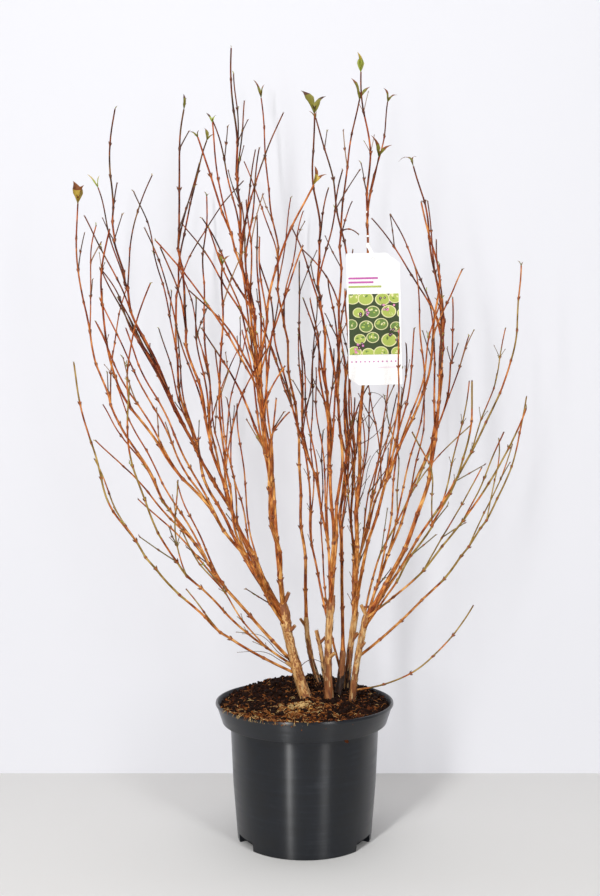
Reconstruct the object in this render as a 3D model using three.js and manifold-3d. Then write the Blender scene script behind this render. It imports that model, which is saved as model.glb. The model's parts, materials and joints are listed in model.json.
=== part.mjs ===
// A weigela in early spring, standing in a nursery pot: short pruned stems, long bowed
// canes, masses of bare twigs with a few young leaves, potting soil and a blank hang tag.
// Millimetres, +Z up. The origin is the centre of the pot's flat underside.

import * as THREE from 'three';
import { mergeVertices } from 'three/addons/utils/BufferGeometryUtils.js';
import Module from 'manifold-3d';

const wasm = await Module();
wasm.setup();

// ---------------------------------------------------------------- driving sizes

const CLEARANCE = 0.3; // gap between neighbouring solids
const FINEST = 0.05; // facets that change the shape by less than this are joined

const POT = {
  height: 230, rimRadius: 151, footRadius: 113.5, middleRadius: 121.2, middleHeight: 95,
  neckRadius: 126, neckHeight: 195, collarRadius: 139.5, wall: 2.2, lip: 4, lipHang: 5,
  floor: 3, around: 40,
};
// Drain notches round the foot: pockets open below and outward, with a roof and a back wall
const DRAIN = { count: 3, width: 48, height: 14.5, backRadius: 98.5, firstAt: -30 };

const SOIL = {
  level: 222, rings: 6,
  // the heap round the stems, and the larger heap behind them
  heaps: [
    { x: 40, y: 0, height: 8, spreadX: 60, spreadY: 60 },
    { x: 0, y: 95, height: 22, spreadX: 75, spreadY: 48 },
  ],
};

// Old stems: foot and head, the bow of the middle, and the diameters at foot and head
const STEMS = {
  left: { foot: [2, 5, 233], head: [-38, 8, 394], bow: [-4, 0, 0], thick: [19, 14] },
  back: { foot: [26, 70, 242], head: [3, 75, 358], bow: [-5, 0, 0], thick: [10, 8] },
  back_stub: { foot: [37, 78, 243], head: [21, 80, 334], bow: [2, 0, 0], thick: [8, 6.5] },
  centre: { foot: [42, -2, 231], head: [47, 0, 408], bow: [-4, 0, 0], thick: [14, 11] },
  dark: { foot: [58, 28, 233], head: [67, 36, 312], bow: [2, 0, 0], thick: [13, 10.5] },
  right_back: { foot: [75, 58, 238], head: [90, 46, 372], bow: [-2, 0, 0], thick: [11, 10] },
  right: { foot: [81, -4, 230], head: [106, -10, 378], bow: [-3, 0, 0], thick: [10.5, 9.5] },
};

// Canes. Each springs from a stem at a share of its height (at) and runs to its tip with
// one bow, and with one slight S sideways (sway). Its lower part is a bough as far as the
// share massFrom. From there on it is the leader of a mass of twigs; a cane with massFrom
// 0 is all mass. Its shoots leave the leader at a share of the cane and end at x, y, z;
// a last number is the length of the young leaves at that tip.
const CANES = {
  crown_top: { stem: 'left', at: 0.9, tip: [-130, 90, 1376], bow: [-10, 10, 0], sway: 5,
    thick: 9, massFrom: 0.25, leaf: 14, seed: 11, shoots: [
      [0.27, -90, -30, 855], [0.3, -50, 80, 925],
      [0.26, -165, -55, 855], [0.28, -110, 0, 1075], [0.33, -85, 130, 1085],
      [0.4, -195, -15, 925], [0.46, -220, 135, 1070], [0.51, -175, 25, 1055],
      [0.56, -75, 20, 1175], [0.61, -90, 120, 1200], [0.65, -40, 50, 1245],
      [0.66, -160, 10, 1220], [0.74, -110, 122, 1290], [0.76, -120, 66, 1320]] },
  tall_bud: { stem: 'left', at: 0.8, tip: [-194, -110, 1202], bow: [-65, -10, -15], sway: 0,
    thick: 6.5, massFrom: 0.36, leaf: 22, seed: 12, shoots: [
      [0.37, -180, -40, 905],
      [0.38, -215, -25, 865], [0.6, -225, -150, 970], [0.75, -175, -60, 1125]] },
  back_left_tall: { stem: 'left', at: 0.84, tip: [-180, 200, 1243], bow: [-120, 25, -25],
    sway: 0, thick: 6.5, massFrom: 0.36, leaf: 24, seed: 13, shoots: [
      [0.37, -230, 110, 875],
      [0.38, -270, 165, 880], [0.57, -320, 205, 1145], [0.62, -285, 110, 1055],
      [0.7, -120, 260, 1180]] },
  far_left_dark: { stem: 'left', at: 0.86, tip: [-335, 60, 1255], bow: [-70, 5, -20],
    sway: 18, thick: 7, massFrom: 0.2, leaf: 0, seed: 14, shoots: [
      [0.22, -335, -60, 950], [0.27, -300, -95, 900], [0.28, -360, 75, 975],
      [0.34, -285, -15, 865], [0.4, -340, 125, 930], [0.62, -375, -10, 1050],
      [0.66, -275, 105, 1150], [0.67, -362, 25, 1108, 24], [0.79, -335, 82, 1130]] },
  left_front_arch: { stem: 'left', at: 0.76, tip: [-305, -160, 995], bow: [-65, -15, -15],
    sway: 30, thick: 6.5, massFrom: 0.26, leaf: 0, seed: 15, shoots: [
      [0.28, -280, -150, 845], [0.33, -335, -60, 905], [0.42, -330, -150, 855],
      [0.6, -230, -240, 900]] },
  left_leafy: { stem: 'left', at: 0.34, tip: [-410, 110, 1100], bow: [-88, 15, -40], sway: 10,
    thick: 6, massFrom: 0.18, leaf: 40, seed: 16, shoots: [
      [0.19, -285, 20, 570],
      [0.2, -230, 105, 595], [0.22, -325, 10, 765], [0.29, -360, 40, 670],
      [0.39, -370, 135, 735], [0.6, -330, 170, 960], [0.75, -365, 60, 1050]] },
  low_left_long: { stem: 'left', at: 0.24, tip: [-375, -90, 795], bow: [-70, -10, -55],
    sway: 0, thick: 4.6, massFrom: 0.19, leaf: 0, seed: 17, shoots: [
      [0.22, -200, -25, 420], [0.5, -330, -150, 640]] },
  low_left_front: { stem: 'left', at: 0.32, tip: [-270, -200, 750], bow: [-60, -15, -40],
    sway: 10, thick: 4, massFrom: 0, leaf: 0, seed: 18, shoots: [
      [0.12, -235, -80, 575],[0.45, -190, -240, 610]] },
  front_sprout: { stem: 'left', at: 0.72, tip: [-120, -240, 930], bow: [-50, -15, -15],
    sway: -5, thick: 4.6, massFrom: 0, leaf: 18, seed: 19, shoots: [
      [0.12, -110, -80, 730], [0.25, -140, -150, 810],[0.5, -60, -265, 800]] },
  front_fork: { stem: 'left', at: 0.93, tip: [-165, -200, 1130], bow: [30, -20, 0], sway: -10,
    thick: 7, massFrom: 0.26, leaf: 14, seed: 20, shoots: [
      [0.27, -100, -70, 850],
      [0.28, -100, -170, 955], [0.47, -225, -185, 975], [0.5, -145, -225, 985],
      [0.62, -90, -110, 1055], [0.81, -140, -225, 1145, 14]] },
  back_slender: { stem: 'left', at: 0.88, tip: [-195, 300, 1160], bow: [-65, 40, -30],
    sway: -10, thick: 5, massFrom: 0, leaf: 12, seed: 21, shoots: [
      [0.12, -140, 100, 745], [0.22, -195, 225, 855], [0.3, -110, 235, 885],
      [0.45, -130, 290, 860], [0.6, -240, 255, 1010]] },
  back_mid_tall: { stem: 'back', at: 0.92, tip: [-85, 270, 1345], bow: [10, 25, -5], sway: 5,
    thick: 6.5, massFrom: 0.34, leaf: 34, seed: 22, shoots: [
      [0.36, -80, 220, 885], [0.55, 0, 300, 1130], [0.62, -25, 200, 1130],
      [0.68, -120, 310, 1230]] },
  thin_dark: { stem: 'dark', at: 0.45, tip: [-10, 160, 1005], bow: [-25, 10, -5], sway: -5,
    thick: 4.6, massFrom: 0, leaf: 0, seed: 23, shoots: [
      [0.12, 35, 150, 690], [0.3, 25, 215, 940],[0.55, 30, 210, 880]] },
  front_leaner: { stem: 'left', at: 0.96, tip: [10, -310, 1030], bow: [-50, -25, -5],
    sway: 15, thick: 6.5, massFrom: 0.24, leaf: 24, seed: 24, shoots: [
      [0.25, -65, -140, 860],
      [0.26, -75, -150, 835], [0.33, -45, -245, 730], [0.41, -25, -280, 710],
      [0.5, -30, -215, 780], [0.6, 0, -270, 950], [0.72, -65, -250, 965]] },
  centre_leafy: { stem: 'centre', at: 0.86, tip: [15, -90, 1200], bow: [5, -10, 0], sway: 5,
    thick: 7, massFrom: 0.28, leaf: 38, seed: 25, shoots: [
      [0.29, 10, -125, 895],
      [0.3, 60, -60, 855], [0.45, 0, -20, 910], [0.62, -20, -40, 1025],
      [0.75, 40, -45, 1090], [0.66, 60, -150, 1090]] },
  centre_back: { stem: 'centre', at: 0.92, tip: [100, 150, 1303], bow: [-10, 20, -5],
    sway: 10, thick: 6.5, massFrom: 0.38, leaf: 36, seed: 26, shoots: [
      [0.39, 40, -95, 930],
      [0.4, 40, 110, 875], [0.5, 90, 150, 1025], [0.58, 0, 100, 1015],
      [0.7, 90, 215, 1130], [0.73, 100, 170, 1060]] },
  crossing: { stem: 'centre', at: 0.76, tip: [-75, 60, 985], bow: [15, 5, -5], sway: 12,
    thick: 5, massFrom: 0, leaf: 0, seed: 38, shoots: [
      [0.12, 20, 95, 800], [0.2, 50, 30, 830], [0.3, -10, 120, 875],
      [0.45, -10, 100, 860], [0.6, -75, 10, 880]] },
  behind_tag: { stem: 'dark', at: 0.93, tip: [20, 120, 1260], bow: [35, 10, 5], sway: -15,
    thick: 6.5, massFrom: 0.15, leaf: 16, seed: 27, shoots: [
      [0.16, 80, -65, 740],
      [0.17, 80, 90, 745], [0.24, 112, 125, 760], [0.35, 130, 135, 790],
      [0.55, 130, 205, 980]] },
  tag_cane: { stem: 'right_back', at: 0.95, tip: [100, 20, 1307], bow: [10, -5, 0], sway: -5,
    thick: 8.5, massFrom: 0.705, leaf: 30, seed: 28, shoots: [
      [0.72, 125, -35, 1145, 32], [0.74, 150, 60, 1270, 28]] },
  under_tag: { stem: 'right_back', at: 0.78, tip: [72, 60, 937], bow: [5, 0, 0], sway: 0,
    thick: 5, massFrom: 0, leaf: 0, seed: 39, shoots: [
      [0.07, 105, 95, 710], [0.14, 120, 70, 755], [0.3, 40, -20, 825],
      [0.45, 60, 20, 860]] },
  inner_right: { stem: 'right_back', at: 0.85, tip: [185, -140, 1045], bow: [35, -15, -5],
    sway: -25, thick: 6.5, massFrom: 0.36, leaf: 0, seed: 29, shoots: [
      [0.37, 160, -20, 860],
      [0.38, 185, -50, 855], [0.45, 215, -130, 895], [0.58, 180, -80, 950],
      [0.7, 240, -190, 930]] },
  right_tall: { stem: 'right', at: 0.93, tip: [195, 80, 1160], bow: [90, 10, -10], sway: 5,
    thick: 8.5, massFrom: 0.31, leaf: 30, seed: 30, shoots: [
      [0.33, 255, 150, 895], [0.4, 215, 60, 935], [0.48, 225, -30, 965],
      [0.57, 235, 60, 1025], [0.6, 160, 115, 1080], [0.63, 120, 30, 1055],
      [0.66, 225, 120, 1105]] },
  right_companion: { stem: 'right', at: 0.9, tip: [275, 150, 935], bow: [28, 15, -10],
    sway: -12, thick: 5.5, massFrom: 0, leaf: 0, seed: 40, shoots: [
      [0.12, 165, 10, 725], [0.2, 250, 205, 885],
      [0.4, 225, 190, 800], [0.6, 300, 110, 860]] },
  far_right: { stem: 'right', at: 0.88, tip: [385, 90, 985], bow: [50, 10, -20], sway: -15,
    thick: 5, massFrom: 0.33, leaf: 10, seed: 31, shoots: [
      [0.35, 290, 50, 775], [0.5, 375, 160, 880]] },
  right_front: { stem: 'right', at: 0.95, tip: [345, -150, 720], bow: [20, -15, -20], sway: 0,
    thick: 4, massFrom: 0.28, leaf: 0, seed: 32, shoots: [
      [0.3, 290, -60, 625], [0.55, 300, -190, 680]] },
  right_low: { stem: 'right', at: 0.5, tip: [420, 200, 755], bow: [45, 25, -50], sway: -10,
    thick: 4.8, massFrom: 0.46, leaf: 0, seed: 33, shoots: [
      [0.5, 395, 190, 665], [0.6, 350, 100, 675]] },
  front_right_thin: { stem: 'right', at: 0.82, tip: [240, -270, 755], bow: [30, -10, -15],
    sway: -10, thick: 3.8, massFrom: 0, leaf: 0, seed: 34, shoots: [[0.5, 150, -300, 680]] },
  back_right_thin: { stem: 'right', at: 0.74, tip: [275, 300, 785], bow: [0, 30, -20],
    sway: -15, thick: 4.4, massFrom: 0, leaf: 0, seed: 35, shoots: [
      [0.45, 160, 290, 760], [0.6, 320, 250, 700]] },
  beside_tag: { stem: 'right_back', at: 0.74, tip: [195, 250, 860], bow: [5, 20, -10],
    sway: -15, thick: 5.4, massFrom: 0, leaf: 0, seed: 36, shoots: [
      [0.1, 140, 70, 710], [0.35, 165, 200, 865], [0.2, 75, 160, 840],
      [0.25, 170, 140, 755], [0.5, 110, 270, 820]] },
  low_right_shoot: { stem: 'right', at: 0.12, tip: [305, 120, 370], bow: [15, 10, -35],
    sway: 0, thick: 3, massFrom: 0, leaf: 0, seed: 37, shoots: [] },
};

const CANE_TIP_RADIUS = 1.35;
const CANE_TAPER = 0.8; // power of the taper: a cane thins faster towards its tip
const SHOOT_THICKNESS = 0.74; // of the leader's, where a shoot leaves it
const SHOOT_TIP_RADIUS = 1.15;
const SHOOT_BEND = 0.36; // share of its length that a shoot keeps to its first direction
const SLIGHT_BOW = 12; // a shoot that bows less than this needs one ring fewer

// The seeded rule: at each joint of a leader or shoot either bud may grow a twig
const JOINT_SPACING = 58;
const TWIG = { chance: 0.07, shortest: 26, longest: 78, radius: 1.2, tipRadius: 0.9, angle: 0.45 };
const TWIG_ROOM = 2.5; // a twig nearer than this to anything else is left out
const CROWN = { x: 0, y: 0, radius: 452, top: 1385, bottom: 300 };
const LEAF = { width: 0.36, thickness: 0.045, sink: 0.12, spread: 0.3 };

const TAG = {
  hole: [117.5, 8, 983], tilt: 1.2, thickness: 0.9, holeRadius: 2.6,
  left: -46, right: 45.5, top: 10, bottom: -216, cutTop: [23, 18], cutBottom: [18, 12],
};
const STRAP = { at: 0.683, width: 9, thickness: 1.2, tailWidth: 6, studRadius: 2.3 };

// ---------------------------------------------------------------- solids

const vector = (list) => new THREE.Vector3(...list);

// A three.js geometry as a solid with shared corners
function solidOf(geometry) {
  const bare = geometry.clone();
  bare.deleteAttribute('normal');
  bare.deleteAttribute('uv');
  const merged = mergeVertices(bare, 1e-4);
  return new wasm.Manifold(new wasm.Mesh({
    numProp: 3,
    vertProperties: new Float32Array(merged.attributes.position.array),
    triVerts: new Uint32Array(merged.index.array),
  }));
}

function geometryOf(solid) {
  const mesh = solid.getMesh();
  const geometry = new THREE.BufferGeometry();
  geometry.setAttribute('position', new THREE.BufferAttribute(mesh.vertProperties, 3));
  geometry.setIndex(new THREE.BufferAttribute(mesh.triVerts, 1));
  geometry.computeVertexNormals();
  return geometry;
}

// The largest piece of a cut solid, without the scraps
function largestPiece(solid) {
  const pieces = solid.decompose();
  return pieces.reduce((best, piece) => (piece.volume() > best.volume() ? piece : best));
}

// ---------------------------------------------------------------- limbs

// A line from root to tip with one bow and one slight S along X
class Sweep extends THREE.Curve {
  constructor(root, tip, bow, sway = 0) {
    super();
    Object.assign(this, { root, tip, bow, sway });
  }

  getPoint(t, target = new THREE.Vector3()) {
    target.copy(this.root).lerp(this.tip, t).addScaledVector(this.bow, 4 * t * (1 - t));
    target.x += this.sway * Math.sin(2 * Math.PI * t);
    return target;
  }

  // Direction at t, worked out from two near points so that it holds past both ends
  directionAt(t) {
    const step = 0.002;
    return this.getPoint(t + step).sub(this.getPoint(t - step)).normalize();
  }
}

// A closed tube round a stretch of a sweep: a cylinder whose rings are moved onto the line
function limbSolid(sweep, from, to, radiusAt, sides, steps) {
  const geometry = new THREE.CylinderGeometry(1, 1, 1, sides, steps);
  const position = geometry.attributes.position;
  const rings = [];
  let side = new THREE.Vector3(0, 1, 0);
  for (let ring = 0; ring <= steps; ring += 1) {
    const t = from + (to - from) * (ring / steps);
    const along = sweep.directionAt(t);
    side = side.clone().addScaledVector(along, -side.dot(along)).normalize();
    rings.push({ t, centre: sweep.getPoint(t), side, other: side.clone().cross(along) });
  }
  for (let i = 0; i < position.count; i += 1) {
    const ring = rings[Math.round((position.getY(i) + 0.5) * steps)];
    const radius = radiusAt(ring.t);
    const point = ring.centre.clone()
      .addScaledVector(ring.side, radius * position.getX(i))
      .addScaledVector(ring.other, radius * position.getZ(i));
    position.setXYZ(i, point.x, point.y, point.z);
  }
  return solidOf(geometry);
}

const taper = (start, end, power = 1) => (t) => start + (end - start) * Math.min(1, t) ** power;

// ---------------------------------------------------------------- room between limbs

const taken = []; // balls along every limb that has its place: centre, radius, owner

function ballsAlong(sweep, from, to, radiusAt, owner) {
  const length = sweep.getLength() * (to - from);
  const count = Math.max(2, Math.ceil(length / 6));
  return Array.from({ length: count + 1 }, (_, i) => {
    const t = from + (to - from) * (i / count);
    return { centre: sweep.getPoint(t), radius: radiusAt(t), owner };
  });
}

function isFree(balls, owner) {
  return balls.every((ball) => {
    const offAxis = Math.hypot(ball.centre.x - CROWN.x, ball.centre.y - CROWN.y);
    const inCrown = offAxis < CROWN.radius && ball.centre.z < CROWN.top
      && ball.centre.z > CROWN.bottom;
    return inCrown && taken.every((other) => other.owner === owner
      || other.centre.distanceTo(ball.centre) > other.radius + ball.radius + TWIG_ROOM);
  });
}

// ---------------------------------------------------------------- pot and soil

function lathe(profile, around) {
  const points = profile.map(([radius, height]) => new THREE.Vector2(radius, height));
  return new THREE.LatheGeometry(points, around).rotateX(Math.PI / 2);
}

// The cavity of the pot from its floor up to the rim: radius, height
const CAVITY = [
  [POT.footRadius - POT.wall, POT.floor], [POT.middleRadius - POT.wall, POT.middleHeight],
  [POT.neckRadius - POT.wall, POT.neckHeight + POT.wall],
  [POT.collarRadius - POT.wall, POT.neckHeight + POT.wall + 0.8],
  [POT.rimRadius - POT.lip, POT.height],
];

// One box for each drain notch, larger on every side by the given amount
function notches(grow) {
  const deep = POT.rimRadius - DRAIN.backRadius;
  return Array.from({ length: DRAIN.count }, (_, i) => solidOf(
    new THREE.BoxGeometry(deep + grow, DRAIN.width + 2 * grow, DRAIN.height + 1 + grow)
      .translate(DRAIN.backRadius + (deep - grow) / 2, 0, (DRAIN.height - 1 + grow) / 2)
      .rotateZ(THREE.MathUtils.degToRad(DRAIN.firstAt + (i * 360) / DRAIN.count)),
  ));
}

function makePot() {
  const { height, rimRadius, footRadius, neckRadius, neckHeight, collarRadius } = POT;
  const body = solidOf(lathe([
    [0, 0], [footRadius - 1, 0], [footRadius, 1.5], [POT.middleRadius, POT.middleHeight],
    [neckRadius, neckHeight], [collarRadius, neckHeight + 0.8],
    [rimRadius - 1.6, height - POT.lipHang], [rimRadius, height - POT.lipHang],
    [rimRadius, height - 1], [rimRadius - 1, height], [0, height],
  ], POT.around));
  const [lipRadius, brim] = CAVITY.at(-1);
  let cavity = solidOf(lathe(
    [[0, POT.floor], ...CAVITY, [lipRadius, brim + 5], [0, brim + 5]], POT.around));
  for (const block of notches(POT.wall)) {
    cavity = cavity.subtract(block);
  }
  let pot = body.subtract(cavity);
  for (const notch of notches(0)) {
    pot = pot.subtract(notch);
  }
  return pot;
}

function soilHeight(x, y) {
  return SOIL.heaps.reduce((sum, heap) => {
    const across = (x - heap.x) ** 2 / (2 * heap.spreadX ** 2);
    const deep = (y - heap.y) ** 2 / (2 * heap.spreadY ** 2);
    return sum + heap.height * Math.exp(-across - deep);
  }, SOIL.level);
}

// The potting soil fills the cavity, clear of it all round, and is heaped on top
function makeSoil() {
  const sides = CAVITY.map(([radius, height]) => [radius - CLEARANCE, height + CLEARANCE]);
  const [brimRadius, brim] = sides.pop();
  const [collarRadius, collar] = sides.at(-1);
  const share = (SOIL.level - collar) / (brim - collar);
  const edgeRadius = collarRadius + (brimRadius - collarRadius) * share;
  const top = Array.from({ length: SOIL.rings + 1 }, (_, i) => [
    edgeRadius * (1 - i / SOIL.rings), SOIL.level]);
  const geometry = lathe([[0, POT.floor + CLEARANCE], ...sides, ...top], POT.around);
  const position = geometry.attributes.position;
  for (let i = 0; i < position.count; i += 1) {
    if (position.getZ(i) === SOIL.level) {
      position.setZ(i, soilHeight(position.getX(i), position.getY(i)));
    }
  }
  let soil = solidOf(geometry);
  for (const block of notches(POT.wall + CLEARANCE)) {
    soil = soil.subtract(block);
  }
  for (const stem of Object.values(STEMS)) {
    soil = soil.subtract(solidOf(seatOf(stem)));
  }
  return soil;
}

// ---------------------------------------------------------------- stems

const stemSweeps = {};
for (const [name, stem] of Object.entries(STEMS)) {
  stemSweeps[name] = new Sweep(vector(stem.foot), vector(stem.head), vector(stem.bow));
}

// True taper, with the flare of the root over the lowest tenth
function stemRadius(stem, grow = 0) {
  const [foot, head] = stem.thick;
  return (t) => {
    const flare = 1 + 0.14 * Math.exp(-Math.max(0, t) * 14);
    return (foot + (head - foot) * t) / 2 * flare + grow;
  };
}

function makeStem(name) {
  const stem = STEMS[name];
  const below = new THREE.BoxGeometry(80, 80, 60)
    .translate(stem.foot[0], stem.foot[1], stem.foot[2] - 30);
  return limbSolid(stemSweeps[name], -0.06, 1, stemRadius(stem), 7, 5).subtract(solidOf(below));
}

function grownStem(name) {
  const stem = STEMS[name];
  const over = CLEARANCE / stemSweeps[name].getLength();
  return limbSolid(stemSweeps[name], -0.06, 1 + over, stemRadius(stem, CLEARANCE), 7, 5);
}

// A shallow flat seat in the soil for the cut foot of each stem
function seatOf(stem) {
  const radius = (stem.thick[0] / 2) * 1.2 + 1.6;
  return new THREE.CylinderGeometry(radius, radius, 40, 10).rotateX(Math.PI / 2)
    .translate(stem.foot[0], stem.foot[1], stem.foot[2] - CLEARANCE + 20);
}

// ---------------------------------------------------------------- canes, shoots and twigs

const caneSweeps = {};
for (const [name, cane] of Object.entries(CANES)) {
  const root = stemSweeps[cane.stem].getPoint(cane.at);
  caneSweeps[name] = new Sweep(root, vector(cane.tip), vector(cane.bow), cane.sway);
}

const caneRadius = (cane, grow = 0) => {
  const plain = taper(cane.thick / 2, CANE_TIP_RADIUS, CANE_TAPER);
  return (t) => plain(t) + grow;
};

// A shoot leaves its leader near the leader's own direction and then swings to its tip
function shootSweep(sweep, at, tip) {
  const root = sweep.getPoint(at);
  const chord = tip.clone().sub(root);
  const first = sweep.directionAt(at).add(chord.clone().normalize()).normalize();
  const knee = root.clone().addScaledVector(first, chord.length() * SHOOT_BEND);
  const straight = root.clone().lerp(tip, SHOOT_BEND);
  return new Sweep(root, tip, knee.sub(straight).multiplyScalar(0.5));
}

// Portable dice, so that the same seed gives the same twigs anywhere
function dice(seed) {
  let state = seed >>> 0;
  return () => {
    state = (Math.imul(state, 1664525) + 1013904223) >>> 0;
    return state / 4294967296;
  };
}

// One small twig at a joint: it leaves at an angle in the joint's plane and turns upward
function twigAt(sweep, t, turn, roll) {
  const [lengthRoll, angleRoll, bendRoll] = [roll(), roll(), roll()];
  const along = sweep.directionAt(t);
  const level = new THREE.Vector3(0, 0, 1).cross(along).normalize();
  const out = level.applyAxisAngle(along, turn);
  const length = TWIG.shortest + (TWIG.longest - TWIG.shortest) * lengthRoll ** 1.5;
  const angle = TWIG.angle * (0.7 + 0.6 * angleRoll);
  const root = sweep.getPoint(t);
  const heading = along.multiplyScalar(Math.cos(angle)).addScaledVector(out, Math.sin(angle));
  const tip = root.clone().addScaledVector(heading, length);
  tip.z += length * 0.25 * bendRoll;
  return new Sweep(root, tip, new THREE.Vector3());
}

// Young leaves at a tip, a pair that opens to left and right, their roots sunk in the twig
function tipLeaves(sweep, size, owner) {
  const tip = sweep.getPoint(1);
  const along = sweep.directionAt(1);
  const deep = new THREE.Vector3(0, 1, 0);
  const across = deep.clone().cross(along).normalize();
  return [-1, 1].map((hand) => {
    const length = hand < 0 ? size : size * 0.8;
    const heading = along.clone().addScaledVector(across, hand * LEAF.spread).normalize();
    const leaf = new THREE.OctahedronGeometry(1)
      .scale(length * LEAF.width / 2, length * LEAF.thickness / 2, length / 2)
      .translate(0, 0, length * (0.5 - LEAF.sink));
    const turn = new THREE.Matrix4().lookAt(heading, new THREE.Vector3(), deep);
    leaf.applyMatrix4(turn).translate(tip.x, tip.y, tip.z);
    const outer = tip.clone().addScaledVector(heading, length * (1 - LEAF.sink));
    const sweepBack = new Sweep(tip, outer, new THREE.Vector3());
    const balls = ballsAlong(sweepBack, 0, 1, () => length * LEAF.width / 3, owner);
    return isFree(balls, owner) ? solidOf(leaf) : null;
  }).filter(Boolean);
}

// The leader and shoots of every mass take their places before any small twig grows
const massLines = {};
for (const name of Object.keys(STEMS)) {
  taken.push(...ballsAlong(stemSweeps[name], 0, 1, stemRadius(STEMS[name]), name));
}
for (const [name, cane] of Object.entries(CANES)) {
  taken.push(...ballsAlong(caneSweeps[name], 0.06, 1, caneRadius(cane), name));
}
for (const [name, cane] of Object.entries(CANES)) {
  const sweep = caneSweeps[name];
  const radiusAt = caneRadius(cane);
  massLines[name] = [{ sweep, from: cane.massFrom, radiusAt, leaf: cane.leaf }];
  for (const [at, x, y, z, leaf = 0] of cane.shoots) {
    const shoot = shootSweep(sweep, at, new THREE.Vector3(x, y, z));
    const shootRadius = taper(radiusAt(at) * SHOOT_THICKNESS, SHOOT_TIP_RADIUS);
    const balls = ballsAlong(shoot, 0, 1, shootRadius, name);
    if (isFree(balls, name)) {
      taken.push(...balls);
      massLines[name].push({ sweep: shoot, from: 0, radiusAt: shootRadius, leaf });
    }
  }
}

function makeMass(name) {
  const cane = CANES[name];
  const roll = dice(cane.seed);
  const [leader, ...shoots] = massLines[name];
  const gap = cane.massFrom > 0 ? CLEARANCE / leader.sweep.getLength() : 0;
  const steps = Math.ceil(8 * (1 - cane.massFrom) + 1);
  let mass = limbSolid(leader.sweep, cane.massFrom + gap, 1, leader.radiusAt, 3, steps);
  for (const shoot of shoots) {
    const bends = shoot.sweep.bow.length() > SLIGHT_BOW ? 4 : 3;
    mass = mass.add(limbSolid(shoot.sweep, 0, 1, shoot.radiusAt, 3, bends));
  }
  for (const line of massLines[name]) {
    const length = line.sweep.getLength() * (1 - line.from);
    const joints = Math.floor(length / JOINT_SPACING);
    for (let joint = 1; joint < joints; joint += 1) {
      const t = line.from + (1 - line.from) * (joint / joints);
      for (const side of [0, 1]) {
        const grows = roll() < TWIG.chance;
        const turn = (joint % 2 + side * 2) * (Math.PI / 2);
        const twig = twigAt(line.sweep, t, turn, roll);
        const twigRadius = taper(TWIG.radius, TWIG.tipRadius);
        const balls = ballsAlong(twig, 0, 1, twigRadius, name);
        if (grows && t > line.from + 0.04 && isFree(balls, name)) {
          taken.push(...balls);
          mass = mass.add(limbSolid(twig, 0, 1, twigRadius, 3, 1));
        }
      }
    }
    if (line.leaf > 0) {
      for (const leaf of tipLeaves(line.sweep, line.leaf, name)) {
        mass = mass.add(leaf);
      }
    }
  }
  return mass.simplify(FINEST);
}

// A cane's foot is seated on its stem and beside the canes that left that stem before it
function seated(solid, name, before) {
  const cane = CANES[name];
  let cut = solid.subtract(grownStem(cane.stem));
  for (const other of before) {
    const radiusAt = caneRadius(CANES[other], CLEARANCE);
    cut = cut.subtract(limbSolid(caneSweeps[other], 0, 0.3, radiusAt, 6, 6));
  }
  return largestPiece(cut);
}

// ---------------------------------------------------------------- hang tag

function makeTag() {
  const card = new THREE.Shape();
  card.moveTo(TAG.left, TAG.top);
  card.lineTo(TAG.left, TAG.bottom + TAG.cutBottom[1]);
  card.lineTo(TAG.left + TAG.cutBottom[0], TAG.bottom);
  card.lineTo(TAG.right, TAG.bottom);
  card.lineTo(TAG.right, TAG.top - TAG.cutTop[1]);
  card.lineTo(TAG.right - TAG.cutTop[0], TAG.top);
  card.closePath();
  const hole = new THREE.Path();
  hole.absarc(0, 0, TAG.holeRadius, 0, 2 * Math.PI, true);
  card.holes.push(hole);
  return new THREE.ExtrudeGeometry(card, {
    depth: TAG.thickness, bevelEnabled: false, curveSegments: 6 })
    .rotateX(Math.PI / 2).translate(0, TAG.thickness, 0)
    .rotateY(THREE.MathUtils.degToRad(-TAG.tilt)).translate(...TAG.hole);
}

// A band round the cane, with a tail down the back of the card and a stud in the card's hole
function makeStrap() {
  const sweep = caneSweeps.tag_cane;
  const centre = sweep.getPoint(STRAP.at);
  const inner = caneRadius(CANES.tag_cane, CLEARANCE + 0.25)(STRAP.at);
  const outer = inner + STRAP.thickness;
  const half = STRAP.width / 2;
  const band = lathe([[inner, -half], [outer, -half], [outer, half], [inner, half],
    [inner, -half]], 12).translate(centre.x, centre.y, centre.z);
  const start = new THREE.Vector3(centre.x, centre.y - inner - STRAP.thickness / 2, centre.z);
  const back = TAG.hole[1] + TAG.thickness + CLEARANCE + STRAP.thickness / 2 + 0.2;
  const end = new THREE.Vector3(TAG.hole[0], back, TAG.hole[2] - 4);
  const tail = new THREE.BoxGeometry(STRAP.tailWidth, STRAP.thickness, start.distanceTo(end))
    .translate(0, 0, start.distanceTo(end) / 2)
    .applyMatrix4(new THREE.Matrix4().lookAt(end, start, new THREE.Vector3(0, 1, 0)))
    .translate(start.x, start.y, start.z);
  const studLength = back - TAG.hole[1];
  const stud = new THREE.CylinderGeometry(STRAP.studRadius, STRAP.studRadius, studLength, 8)
    .translate(0, -studLength / 2, 0).translate(TAG.hole[0], back, TAG.hole[2]);
  return solidOf(band).add(solidOf(tail)).add(solidOf(stud));
}

// ---------------------------------------------------------------- the whole plant

const FINISH = {
  pot: { color: 0x1f2224, roughness: 0.42, metalness: 0 },
  soil: { color: 0x33241a, roughness: 0.95, metalness: 0 },
  stem: { color: 0xa5713c, roughness: 0.85, metalness: 0 },
  cane: { color: 0x8a4722, roughness: 0.6, metalness: 0 },
  twig: { color: 0x74523a, roughness: 0.7, metalness: 0 },
  card: { color: 0xf2f1ec, roughness: 0.4, metalness: 0 },
};

const plant = new THREE.Group();

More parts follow.
